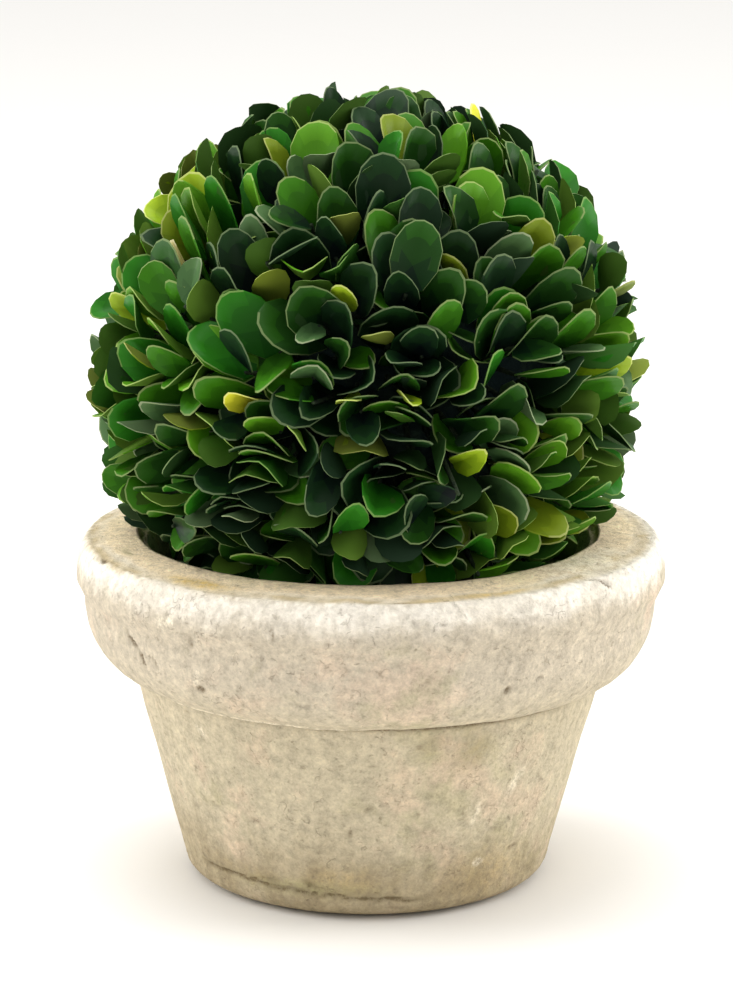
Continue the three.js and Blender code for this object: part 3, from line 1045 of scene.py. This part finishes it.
@dataclass
class Blades:
    """Leaves as whole arrays: where each starts, how it lies, its size and curves. In mm."""

    root: Array
    along: Array
    face: Array
    length: Array
    width: Array
    cup: Array
    bend: Array
    reach: Array
    climb: Array

    @property
    def across(self) -> Array:
        """Each blade's direction from its left edge to its right."""
        return np.cross(self.along, self.face)

    @property
    def tips(self) -> Array:
        """Each blade's tip, without its bend."""
        return self.root + self.along * self.length[:, None]

    def picked(self, which: Array) -> "Blades":
        """Only the leaves with these numbers."""
        return Blades(*(getattr(self, name)[which] for name in self.__dataclass_fields__))

    @staticmethod
    def joined(groups: "Sequence[Blades]") -> "Blades":
        """All the leaves of several groups, one group after another."""
        names = Blades.__dataclass_fields__
        return Blades(*(np.concatenate([getattr(b, name) for b in groups]) for name in names))

    def raised(self, x: Array, y: Array) -> Array:
        """How high each blade lies over its own flat frame, x widths across and y lengths up.

        The cup times the width times |2x|^1.5, plus the bend times the length times y squared.
        """
        cup = (self.cup * self.width)[:, None]
        bend = (self.bend * self.length)[:, None]
        return cup * np.abs(2 * x) ** 1.5 + bend * y * y

    def spots(self, x: Array, y: Array, z: Array) -> Array:
        """Places x widths across, y lengths up and z mm over each blade's flat frame."""
        return (
            self.root[:, None, :]
            + self.across[:, None, :] * (x * self.width[:, None])[..., None]
            + self.along[:, None, :] * (y * self.length[:, None])[..., None]
            + self.face[:, None, :] * z[..., None]
        )

    def lines(self) -> Array:
        """Points on each blade: round its edge past the root, and then up its middle.

        Returns:
            Fourteen points for each leaf.
        """
        x, y = leaf_edge(np.linspace(0.3, 1.7, EDGE_POINTS) * np.pi)
        x = np.concatenate([x, np.zeros(len(MIDRIB))])[None, :]
        y = np.concatenate([y, MIDRIB])[None, :]
        return self.spots(x, y, self.raised(x, y))


def fullness(y: Array) -> Array:
    """How wide a leaf is at a share of the way up it, next to a plain ellipse."""
    return 0.84 + 0.3 * y


def leaf_edge(angle: Array) -> tuple[Array, Array]:
    """The outline of a leaf, as shares of its width and length, at angles from its root.

    It is an ellipse from the root at (0, 0) to the tip at (0, 1), a little fuller to the tip.
    """
    y = (1 - np.cos(angle)) / 2
    return np.sin(angle) / 2 * fullness(y), y


@dataclass
class LeafShape:
    """One leaf's mesh of 48 faces: two rings and a middle above, one ring and a middle below."""

    sides: int = 12
    crowding: float = 0.35
    rings: tuple[float, ...] = (0.968, 0.62)
    middle: float = 0.4
    thickness: float = 0.28
    groove: float = 0.2
    groove_width: float = 0.07
    swell: float = 0.06
    wave: float = 0.8
    skew: float = 0.3
    shade_step_edges: tuple[float, ...] = (0.3, 0.5, 0.85)

    def round_it(self, part: float) -> Array:
        """The angle of each side from the root, part of a side on; they crowd at the tip.

        It is the even angle t plus the crowding times the sine of t.
        """
        t = (np.arange(self.sides) + part) / self.sides * 2 * np.pi
        return t + self.crowding * np.sin(t)

    def shell(self, blades: Blades, item: Array) -> tuple[Shell, Array]:
        """All the leaves as one shell.

        Point (r, k) of a leaf lies at share r of the way from its middle to the edge at angle
        k, at the blade's own height, plus a slow wave that grows with r squared, and lower by
        the groove on the midrib. The under face follows it, lower by the thickness. The rim's
        faces are pale, a painted highlight, on the side that a direction drawn for the leaf
        looks at.

        Args:
            blades: The leaves.
            item: Each leaf's number, for its own waves.

        Returns:
            The shell, and each face's slot.
        """
        angle = self.round_it(0.0)
        edge_x, edge_y = leaf_edge(angle)
        share = np.array([*self.rings, 1.0])[:, None]
        x = np.append((share * edge_x).reshape(-1), [0.0, 0.0])[None, :]
        y = (self.middle + share * (edge_y - self.middle)).reshape(-1)
        y = np.append(y, [self.middle, self.middle])[None, :]
        out = np.append(np.repeat(share[:, 0], self.sides), [0.0, 0.0])[None, :]
        theta = np.append(np.tile(angle, len(share)), [0.0, 0.0])[None, :]
        swell = jitter(item, 33, self.swell)[:, None] * np.sin(3 * theta + item[:, None])
        wave = jitter(item, 34, self.wave)[:, None] * np.sin(2 * theta + 3.0 * item[:, None])
        x = x * (1 + swell) * (1 + jitter(item, 35, self.skew)[:, None] * (y - self.middle))
        z = blades.raised(x, y) + wave * out**2
        z = z - self.groove * np.exp(-((x / self.groove_width) ** 2)) * (out < self.rings[0])
        z[:, -self.sides - 2 : -2] -= self.thickness
        z[:, -1] -= self.thickness
        corners, counts, slots = self.faces()
        # Painted highlight: the rim faces on one arc of the edge are pale, the rest take the margin's
        # step
        lit = np.cos(angle[None, :] - chance(item, 36)[:, None] * 2.4 - 1.9)
        pale = lit > (0.1 - 1.0 * chance(item, 37) ** 2)[:, None]
        slots = np.tile(slots, (len(item), 1))
        slots[:, -self.sides :] = np.where(pale, 5, 3)
        return many(blades.spots(x, y, z), corners, counts), slots.reshape(-1)

    def faces(self) -> tuple[Array, Array, Array]:
        """The faces of one leaf: the rings, the middle's fan, the under face's fan and the rim.

        A face above takes its step from dark to light by 0.95 of its way up the leaf plus 0.2
        of the square of its way out from the middle: the dark steps by the root are partly painted
        shade of the leaves over it, and the light steps a greener margin.

        Returns:
            The corner numbers in a row, each face's corner count, and each face's slot.
        """
        ring = np.arange((len(self.rings) + 1) * self.sides).reshape(-1, self.sides)
        beside = np.roll(ring, -1, axis=1)
        centre, under = ring.size, ring.size + 1
        inner, low = len(self.rings) - 1, len(self.rings)
        bands = (
            np.stack([ring[k], beside[k], beside[k + 1], ring[k + 1]], -1) for k in range(inner)
        )
        fan = np.stack([ring[inner], beside[inner], np.full(self.sides, centre)], -1)
        cone = np.stack([beside[low], ring[low], np.full(self.sides, under)], -1)
        rim = np.stack([ring[low], beside[low], beside[0], ring[0]], -1)
        parts = [*bands, fan, cone, rim]
        corners = np.concatenate([part.reshape(-1) for part in parts])
        counts = np.repeat([4] * inner + [3, 3, 4], self.sides)
        between = self.round_it(0.5)
        share = np.array([*self.rings, 0.0])
        share = (share[:-1] + share[1:])[:, None] / 2
        up = self.middle + share * (leaf_edge(between)[1] - self.middle)
        level = 0.95 * up + 0.2 * share**2
        steps = np.searchsorted(self.shade_step_edges, level.reshape(-1))
        return corners, counts, np.concatenate([steps, np.repeat([4, 5], self.sides)])


class LeafPlace(NamedTuple):
    """Where a leaf stands on its twig: the angle between them, and the turn about the twig.

    Both are in degrees. The reach is the share of the ball's own at which the tip ends.
    """

    lean: float
    turn: float
    reach: float


# Crossed pairs, from the twig's tip inwards
LEAF_PLACES = tuple(
    LeafPlace(lean, turn, reach)
    for lean, first, reach in ((24, 0, 1.0), (38, 90, 0.98), (50, 20, 0.94), (62, 110, 0.88))
    for turn in (first, first + 180)
)

# Leaves of a marked tone: the ways to them from the ball's centre, as turn and climb in degrees
ACCENTS: dict[Tone, tuple[tuple[float, float], ...]] = {
    Tone.CREAM: ((-141, 30),),
    Tone.YELLOW: ((-38, 11), (-118, 1), (14, 63), (60, 20), (150, 35)),
    Tone.LIME: (
        (-79, 1), (-92, 2), (-111, 22), (-36, 27), (-67, -10), (-89, 26), (115, -5), (85, 48),
    ),
    Tone.OLIVE: ((-65, 33), (-91, 71), (-126, 55), (-92, 45), (-15, 22), (25, 5), (100, 15)),
    Tone.FRESH: ((-160, 7), (-129, 20), (-160, 2), (-149, 2)),
    Tone.GRASS: ((-78, 44), (-68, 46)),
    Tone.GREY: ((-35, 75), (-100, 59), (-150, -10), (-124, 36), (-33, 8)),
}
NARROWED = (Tone.CREAM, Tone.YELLOW, Tone.LIME)

# The first draw's number of a leaf's first try, and how many numbers each try takes up
LEAF_DRAWS, DRAWS_EACH = 50, 10
# A root's slide on its twig: where it starts in mm, its steps, and the least cosine reckoned with
FIRST_CLIMB, SLIDES, FLATTEST = 8.0, 6, 0.4


@dataclass(frozen=True)
class Habit:
    """How a leaf grows: its measures in mm or shares, and how far each varies either way.

    The spreads of its turn, lean and roll are in radians, for a leaf's first try.
    """

    length: float = 16.4
    length_spread: float = 2.4
    youngest: float = 0.62
    width: float = 0.62
    width_spread: float = 0.07
    cup: float = 0.17
    cup_spread: float = 0.14
    bend: float = -0.04
    bend_spread: float = 0.18
    turn_spread: float = 0.35
    lean_spread: float = 0.26
    roll_spread: float = 0.4
    reach_spread: float = 0.03
    facing_up: float = 0.8


@dataclass(frozen=True)
class PaintedShadeRule:
    """Painted shade: how much darker the tones are that leaves get by the side of the ball they
    are on, darkest on the front.

    With a leaf's way from the centre as x to the right, y to the back and z up, the exponent
    is that of the share it draws: the higher it is, the darker the tones that are dealt.
    """

    front: float = 1.95
    poles: float = 1.2
    plain: float = 1.3
    corner: float = 0.9
    flanks: float = 0.35

    def power(self, ways: Array) -> Array:
        """The power to which each leaf's draw is raised.

        It is e to the front times clip(-y, 0, 1) squared, plus the poles times z squared,
        minus the plain, plus the corner times xz, minus the flanks times x squared.
        """
        x, y, z = ways.T
        # Painted shade: darker tones go to the front, top and bottom, lighter ones to the flanks
        shaded = self.front * np.clip(-y, 0, 1) ** 2 + self.poles * z**2 - self.plain
        return np.exp(shaded + self.corner * x * z - self.flanks * x**2)


@dataclass
class Crown:
    """The ball: a fibre core, twigs that fork from it, and leaves in crossed pairs.

    Lengths are in mm and the leans and angles in degrees, but the spreads of turn, tilt, sway
    and spin in radians or tangents. Shares are of the ball's own reach that way, the sprigs'
    spread is in steps of the spiral, and parting, blend, lowest and skirt are sines of heights.
    """

    pot: Pot
    stem: Stem
    filling_top: float
    centre: float = 106.5
    radius: float = 55.6
    top: float = 54.0
    bottom: float = 52.0
    upper_round: float = 1.96
    lower_round: float = 2.5
    core_share: float = 0.66
    sprigs: int = 135
    forks: int = 7
    fork_angle: float = 9.5
    lowest: float = -0.84
    parting: float = 0.15
    parting_blend: float = 0.6
    lean: float = 24.0
    root_share: float = 0.6
    sprig_spread: float = 0.6
    turn_spread: float = 0.12
    tilt_spread: float = 0.2
    sway: float = 0.3
    spin_spread: float = 0.6
    twig_radius: float = 0.8
    twig_bow: float = 0.5
    twig_over: float = 0.8
    shortest_twig: float = 1.0
    twig_cap: float = 0.3
    twig_rings: tuple[float, ...] = (0.0, 0.3, 0.62, 0.9, 1.0)
    twig_sides: int = 5
    skirt_from: float = 0.35
    skirt_lift: float = 46.0
    openness: float = 0.42
    habit: Habit = Habit()
    tries: int = 8
    crossings: tuple[int, ...] = (0, 0, 0, 0, 1, 1, 2, 2)
    looser: float = 0.2
    lip_lift: float = 0.1
    highest: float = 1.035
    clearance: float = 0.9
    search: float = 16.0
    accent_reach: float = 0.96
    accent_width: float = 0.7
    # The painted shade: darker tones dealt to the leaves on the ball's front
    painted_shade_rule: PaintedShadeRule = PaintedShadeRule()
    core_rows: int = 70
    core_columns: int = 180
    leaf: LeafShape = field(default_factory=LeafShape)
    fibre: FibreFinish = FibreFinish("packed_core", (24, 38, 38), (42, 58, 46), 1.6)
    bark: BarkFinish = BarkFinish((26, 38, 28), (52, 64, 42), (48, 66, 38))

    @property
    def middle(self) -> Array:
        """The ball's centre."""
        return np.array([0.0, 0.0, self.centre])

    def reach_share(self, points: Array) -> Array:
        """How far points lie out, as a share of the ball's own reach that way.

        The outline is an ellipse above the centre and a fuller superellipse below it.
        """
        above = points[..., 2] > self.centre
        half = np.where(above, self.top, self.bottom)
        power = np.where(above, self.upper_round, self.lower_round)
        wide = np.hypot(points[..., 0], points[..., 1]) / self.radius
        high = np.abs(points[..., 2] - self.centre) / half
        return (wide**power + high**power) ** (1 / power)

    def on_ball(self, direction: Array, share: Array | float) -> Array:
        """The points that a share of the ball's reach gives along directions."""
        reach = self.reach_share(self.middle + direction)
        return self.middle + direction * (share / reach)[..., None]

    def meets_pot(self, points: Array) -> Array:
        """True where a point is inside the pot's wall or filling, or too near them."""
        r, z, near = np.hypot(points[..., 0], points[..., 1]), points[..., 2], self.clearance
        over = (r > self.pot.lip_radius - near) & (r < self.pot.rim_radius + 1)
        return (z < self.filling_top + near) | ((z < self.pot.height + near) & over)

    @staticmethod
    def upright(direction: Array) -> tuple[Array, Array]:
        """Across and along at each direction: level to the left, and up its meridian."""
        across = np.cross(np.array([0.0, 0.0, 1.0]), direction)
        flat = np.linalg.norm(across, axis=-1, keepdims=True) < 1e-3
        across = unit(np.where(flat, np.array([1.0, 0.0, 0.0]), across))
        return across, np.cross(direction, across)

    def twig_lean(self, sine: Array) -> Array:
        """How far a twig leans up its meridian at a height.

        Up on the upper part, never past upright, and down on the lower part; but the lowest
        twigs lift again, and spread out over the pot's lip.
        """
        side = np.clip((sine - self.parting) / self.parting_blend, -1, 1)
        upright = 90 - np.degrees(np.arcsin(sine))
        skirt = self.skirt_lift * ease(-sine, self.skirt_from, self.skirt_from + 0.25)
        return np.radians(np.minimum(self.lean * side + skirt, 0.8 * upright))

    @staticmethod
    def swell(direction: Array) -> Array:
        """A slow wave over the ball, -1 to 1: the leaves stand open where it is high."""
        x, y, z = direction[:, 0], direction[:, 1], direction[:, 2]
        return np.sin(4.1 * x + 2.3 * z + 0.6) * np.cos(3.7 * z - 2.9 * y + 0.4)

    def twigs(self) -> dict[str, Array]:
        """Every twig: the source's sprigs on a disturbed golden spiral, and forks beside each.

        Returns:
            Each twig's number, height as a sine, root, axis and spin.
        """
        i = np.arange(self.sprigs)
        sine = 1 - (2 * (i + 0.5)) / self.sprigs + jitter(i, 1, self.sprig_spread / self.sprigs)
        turn = i * GOLDEN_ANGLE + jitter(i, 2, self.turn_spread)
        cosine = np.sqrt(np.maximum(0, 1 - sine * sine))
        direction = np.stack([cosine * np.cos(turn), cosine * np.sin(turn), sine], 1)
        kept = sine >= self.lowest
        i, direction = i[kept], direction[kept]
        shares = np.full(len(i), self.root_share)
        root = self.on_ball(direction, shares)
        found: list[tuple[Array, ...]] = []
        for fork in range(self.forks):
            item = i + self.sprigs * fork
            across, along = self.upright(direction)
            swing = chance(i, 6) * 2 * np.pi + fork * np.pi / 3
            wide = 0.0 if fork == 0 else math.tan(math.radians(self.fork_angle))
            aside = across * (np.cos(swing) * wide)[:, None] + along * (np.sin(swing) * wide)[:, None]
            aim = unit(direction + aside)
            across, along = self.upright(aim)
            lean = self.twig_lean(np.clip(aim[:, 2], -1, 1))
            tilt = np.tan(lean + jitter(item, 3, self.tilt_spread))[:, None]
            axis = unit(aim + along * tilt + across * jitter(item, 4, self.sway)[:, None])
            start = root + (self.on_ball(aim, shares) - root) * 0.6
            spin = np.pi / 2 + jitter(item, 5, self.spin_spread)
            found.append((item, aim[:, 2], start, axis, spin))
        names = ("item", "sine", "root", "axis", "spin")
        return {name: np.concatenate(parts) for name, parts in zip(names, zip(*found))}

    def drawn(self, twigs: dict[str, Array], k: int, attempt: int) -> Blades:
        """The leaf at place k of every twig, drawn afresh and more loosely for each try.

        The leaf's direction is the twig's turned out by the lean. Its face is the part square
        to that of the twig's direction, turned up to the light on a leaf that points sideways.
        Its root slides on the twig until the tip lies at the wanted share of the ball's reach.
        """
        place, habit = LEAF_PLACES[k], self.habit
        item, axis, count = twigs["item"], twigs["axis"], len(twigs["item"])
        draw = LEAF_DRAWS + DRAWS_EACH * (k + len(LEAF_PLACES) * attempt)
        loose = 1 + attempt * self.looser
        across, meridian = self.upright(axis)
        turn = math.radians(place.turn) + jitter(item, draw, habit.turn_spread * loose)
        opened = 1 + self.openness * self.swell(axis)
        lean = math.radians(place.lean) * opened + jitter(item, draw + 1, habit.lean_spread * loose)
        side = turned_about(across, axis, twigs["spin"] + turn)
        along = axis * np.cos(lean)[:, None] + side * np.sin(lean)[:, None]
        along[:, 2] += np.where(twigs["sine"] < 0, self.lip_lift * attempt, 0)
        along = unit(along)
        sideways = 1 - dot(side, meridian) ** 2
        toward = axis + np.array([0.0, 0.0, habit.facing_up]) * sideways
        face = unit(toward - along * dot(along, toward))
        face = turned_about(face, along, jitter(item, draw + 2, habit.roll_spread * loose))
        size = 1 - (1 - habit.youngest) * chance(item, draw + 6) ** 2
        length = (habit.length + jitter(item, draw + 3, habit.length_spread)) * size
        width = length * (habit.width + jitter(item, draw + 4, habit.width_spread))
        reach = place.reach + jitter(item, draw + 5, habit.reach_spread)
        cup = habit.cup + jitter(item, draw + 7, habit.cup_spread)
        bend = habit.bend + jitter(item, draw + 8, habit.bend_spread)
        climb = np.full(count, FIRST_CLIMB)
        for _ in range(SLIDES):
            tip = twigs["root"] + axis * climb[:, None] + along * length[:, None]
            out = tip - self.middle
            far = np.linalg.norm(out, axis=1)
            missing = (reach / self.reach_share(tip) - 1) * far
            climb = climb + missing / np.maximum(dot(unit(out), axis)[:, 0], FLATTEST)
        root = twigs["root"] + axis * climb[:, None]
        places = np.full(count, place.reach)
        return Blades(root, along, face, length, width, cup, bend, places, climb)

    def placed(self, twigs: dict[str, Array]) -> tuple[Blades, Array, Array]:
        """Chooses for each leaf the try that goes through the fewest leaves already there.

        Returns:
            The leaves, their numbers, and for each the number of its twig.
        """
        count, places = len(twigs["item"]), range(len(LEAF_PLACES))
        pool = Blades.joined(
            [self.drawn(twigs, k, attempt) for k in places for attempt in range(self.tries)]
        )
        across, lines = pool.across, pool.lines()
        middles = lines[:, HALFWAY, :]
        free = ~self.meets_pot(lines).any(1) & (self.reach_share(lines).max(1) < self.highest)
        chosen: list[int] = []
        owners: list[int] = []
        for k in places:
            for twig in range(count):
                best, fewest = -1, self.crossings[k] + 1
                for attempt in range(self.tries):
                    n = (k * self.tries + attempt) * count + twig
                    if not free[n]:
                        continue
                    near = np.array(chosen, int)
                    near = near[np.sum((middles[near] - middles[n]) ** 2, 1) < self.search**2]
                    mine = np.full(len(near), n)
                    hits = self.counted(pool, across, lines, mine, near)
                    if hits < fewest:
                        hits += self.counted(pool, across, lines, near, mine)
                    if hits < fewest:
                        best, fewest = n, hits
                    if fewest == 0:
                        break
                if best >= 0:
                    chosen.append(best)
                    owners.append(twig)
        picked, owner = np.array(chosen), np.array(owners)
        marks = twigs["item"][owner] * len(LEAF_PLACES) + picked // (self.tries * count)
        return pool.picked(picked), marks, owner

    @staticmethod
    def counted(pool: Blades, across: Array, lines: Array, mine: Array, others: Array) -> int:
        """How many steps of the first leaves' lines go through the blades of the second.

        A step goes through where its two ends lie on either side of the blade's curved face,
        and the point between them lies within its outline past the root.

        Args:
            pool: All the leaves.
            across: Their directions from edge to edge.
            lines: Their points.
            mine: The numbers of the leaves whose lines are tested.
            others: For each of them, the number of the leaf whose blade is tested.

        Returns:
            The count over all pairs.
        """
        blade = pool.picked(others)
        local = lines[mine] - blade.root[:, None, :]
        x = (local * across[others][:, None, :]).sum(-1) / blade.width[:, None]
        y = (local * blade.along[:, None, :]).sum(-1) / blade.length[:, None]
        high = (local * blade.face[:, None, :]).sum(-1)
        held_x, held_y = np.clip(x, -0.5 - BEYOND, 0.5 + BEYOND), np.clip(y, -BEYOND, 1 + BEYOND)
        high = high - blade.raised(held_x, held_y)
        a, b = high[:, :-1], high[:, 1:]
        through = (a * b) < 0
        share = np.where(through, a / np.where(through, a - b, 1), 0)
        at_x = x[:, :-1] + (x[:, 1:] - x[:, :-1]) * share
        at_y = y[:, :-1] + (y[:, 1:] - y[:, :-1]) * share
        kept = np.clip(at_y, 0, 1)
        half = np.sqrt(kept * (1 - kept)) * fullness(kept)
        inside = (np.abs(at_x) < half) & (at_y > ROOT_PART)
        return int((through & inside).sum())

    def toned(self, blades: Blades, marks: Array) -> Array:
        """Deals each leaf a tone by the seeded rule, then gives the accents to the nearest leaf.

        The tones run from the darkest to the lightest, and each leaf takes the one that its
        draw falls on, the draw first raised to the painted shade rule's power for its side of
        the ball. A leaf that takes one of the brightest accents becomes narrower too.

        Returns:
            The number of each leaf's tone, in the order of the finishes.
        """
        tones = list(LEAF_FINISHES)
        shares = np.array([finish.share for finish in LEAF_FINISHES.values()])
        edges = np.cumsum(shares / shares.sum())
        ways = unit(blades.tips - self.middle)
        # Painted shade: each draw is pushed towards darker tones by the leaf's side of the ball
        drawn = chance(marks, 40) ** self.painted_shade_rule.power(ways)
        tone = np.minimum(np.searchsorted(edges, drawn, side="right"), len(tones) - 1)
        hidden = 0.03 * np.abs(dot(ways, blades.face))[:, 0]
        outer = blades.reach > self.accent_reach
        for wanted, aims in ACCENTS.items():
            for turn, climb in np.radians(aims):
                aim = [np.cos(climb) * np.cos(turn), np.cos(climb) * np.sin(turn), np.sin(climb)]
                best = int(np.argmax(np.where(outer, ways @ aim - hidden, -2)))
                tone[best] = tones.index(wanted)
                if wanted in NARROWED:
                    blades.width[best] *= self.accent_width
        return tone

    def build_leaves(self, blades: Blades, marks: Array) -> None:
        """Joins the leaves of each tone into one piece."""
        tone = self.toned(blades, marks)
        for number, (name, finish) in enumerate(LEAF_FINISHES.items()):
            which = np.nonzero(tone == number)[0]
            if len(which) == 0:
                continue
            shell, slots = self.leaf.shell(blades.picked(which), marks[which])
            materials = finish.materials(name)
            piece = mesh_piece(f"leaves_{name.value}", shell, materials, slots, sharp=55)
            settle(piece, "crown")

    def build_twigs(self, twigs: dict[str, Array], blades: Blades, owners: Array) -> None:
        """Tapering, slightly bowed twigs from the core to just past each one's furthest leaf.

        Ring (s, j) is the root plus s times the reach along the axis, plus the bow times
        sin(pi s) across it, plus the radius at s in the j-th of the directions round it.
        """
        far = np.zeros(len(twigs["item"]))
        np.maximum.at(far, owners, blades.climb + self.twig_over)
        used = far > self.shortest_twig
        root, axis, far = twigs["root"][used], twigs["axis"][used], far[used]
        across, along = self.upright(axis)
        s = np.array(self.twig_rings)
        angle = np.arange(self.twig_sides) / self.twig_sides * 2 * np.pi
        thick = self.twig_radius * (1 - 0.5 * s)
        bow = self.twig_bow * np.sin(s * np.pi)
        spine = (
            root[:, None, :]
            + axis[:, None, :] * (far[:, None] * s)[..., None]
            + across[:, None, :] * bow[None, :, None]
        )
        ring = across[:, None, :] * np.cos(angle)[None, :, None]
        ring = ring + along[:, None, :] * np.sin(angle)[None, :, None]
        tube = spine[:, :, None, :] + ring[:, None, :, :] * thick[None, :, None, None]
        cap = axis * self.twig_cap
        ends = np.stack([spine[:, 0] - cap, spine[:, -1] + cap], 1)
        points = np.concatenate([tube.reshape(len(root), -1, 3), ends], 1)
        shell = many(points, *tube_faces(len(s), self.twig_sides))
        settle(mesh_piece("twigs", shell, [self.bark.material()]), "crown")

    def build_core(self) -> None:
        """The packed fibre ball, lumpy outside, with a plain socket where the stem goes in."""
        gap = 0.3
        side = self.stem.profile(gap, 6)
        wide, high = self.radius * self.core_share, self.bottom * self.core_share
        mouth = self.stem.radius + gap
        start = math.asin(mouth / wide)
        socket = side[side[:, 1] > self.centre - high * math.cos(start) + 0.5][::-1]
        tip = (socket[0, 0], socket[0, 1] + gap)
        t = np.linspace(start, np.pi, self.core_rows)
        ball = np.stack([wide * np.sin(t), self.centre - high * np.cos(t)], 1)
        profile = np.vstack(((0.0, tip[1]), tip, socket, ball[:-1], (0.0, ball[-1, 1])))
        lathe = Lathe(profile, self.core_columns)
        lumps = 1.6 * layered_noise(lathe.spots, 9, 4, 81)
        lumps = lumps * ease(lathe.radius, mouth, mouth + 4)[:, None]
        lumps[: len(socket) + 1] = 0
        piece = mesh_piece("packed_core", lathe.turned(lumps), [self.fibre.material()])
        settle(piece, "crown")

    def build(self) -> None:
        """Makes the core, the twigs and the leaves."""
        twigs = self.twigs()
        blades, marks, owners = self.placed(twigs)
        LOG.info("%d twigs carry %d leaves", len(twigs["item"]), len(marks))
        self.build_core()
        self.build_twigs(twigs, blades, owners)
        self.build_leaves(blades, marks)


# Studio


class Lamp(NamedTuple):
    """A square soft light that faces the object's middle. In metres and watts."""

    name: str
    place: tuple[float, float, float]
    size: float
    power: float


LAMPS = (
    Lamp("top_light", (-0.1, 0.05, 1.2), 0.8, 6),
    Lamp("left_light", (-0.95, 0.15, 0.4), 0.6, 5),
    Lamp("right_light", (0.95, 0.15, 0.4), 0.6, 5.2),
)


@dataclass
class Studio:
    """A pale floor, soft light and the camera. In metres, and millimetres for the camera."""

    lens: float = 135.38
    eye: tuple[float, float, float] = (-0.00035, -0.7431, 0.2519)
    aim: tuple[float, float, float] = (-0.00035, 0.0, 0.0771)
    zenith: float = 1.3
    horizon: float = 0.4
    floor: Colour = (244, 242, 238)
    floor_radius: float = 14.0
    floor_sides: int = 96
    lit_point: tuple[float, float, float] = (0.0, 0.0, 0.09)
    sensor: float = 36.0

    @staticmethod
    def stand(
        name: str, data: bpy.types.ID, place: Sequence[float], aim: Sequence[float]
    ) -> bpy.types.Object:
        """Puts a light or a camera at a place and turns it to a point.

        Args:
            name: The object's name.
            data: The light or the camera.
            place: Where it stands.
            aim: What it faces.

        Returns:
            The object, linked into the scene.
        """
        made = bpy.data.objects.new(name, data)
        made.location = place
        way = Vector(aim) - Vector(place)
        made.rotation_euler = way.to_track_quat("-Z", "Y").to_euler()
        bpy.context.scene.collection.objects.link(made)
        return made

    def build_lamps(self) -> None:
        """The soft lights."""
        for lamp in LAMPS:
            light = bpy.data.lights.new(lamp.name, "AREA")
            light.size, light.energy = lamp.size, lamp.power
            self.stand(lamp.name, light, lamp.place, self.lit_point)

    def build_floor(self) -> None:
        """A level disc, with a faint unevenness in its finish."""
        n = self.floor_sides
        ring = turned_grid(np.array([self.floor_radius / MM]), np.zeros(1), n)[0]
        s = Shader("pale_floor")
        cloud = s.noise(s.place(), 180, 3)
        colour = s.blend(cloud * 0.1, tint(self.floor), (0.8, 0.8, 0.78, 1))
        material = s.done(colour, 0.8 + cloud * 0.1, None, 0.1)
        mesh_piece("floor", Shell(ring, np.arange(n), np.array([n])), [material])

    def build_sky(self) -> None:
        """A white sky, brightest overhead: its strength grows with the way's upward part."""
        world = bpy.data.worlds.new("soft_sky")
        world.use_nodes = True
        tree = world.node_tree
        back = tree.nodes["Background"]
        back.inputs["Color"].default_value = (1, 1, 1, 1)
        way = tree.nodes.new("ShaderNodeTexCoord")
        parts = tree.nodes.new("ShaderNodeSeparateXYZ")
        grade = tree.nodes.new("ShaderNodeMapRange")
        grade.inputs[3].default_value = self.horizon
        grade.inputs[4].default_value = self.zenith
        tree.links.new(way.outputs["Generated"], parts.inputs[0])
        tree.links.new(parts.outputs[2], grade.inputs[0])
        tree.links.new(grade.outputs[0], back.inputs["Strength"])
        bpy.context.scene.world = world

    def build(self) -> None:
        """Makes the floor, the sky, the lights and the camera."""
        self.build_floor()
        self.build_sky()
        self.build_lamps()
        camera = bpy.data.cameras.new("camera")
        camera.lens, camera.sensor_width = self.lens, self.sensor
        bpy.context.scene.camera = self.stand("camera", camera, self.eye, self.aim)
        bpy.context.scene.view_settings.view_transform = "Standard"


def main() -> None:
    """Builds the sub-assemblies in order."""
    logging.basicConfig(level=logging.INFO, format="%(message)s")
    pot = Pot()
    pot.build()
    filling = Filling(pot)
    filling.build()
    stem = Stem()
    stem.build()
    Crown(pot, stem, filling.top).build()
    Studio().build()


if __name__ == "__main__":
    main()
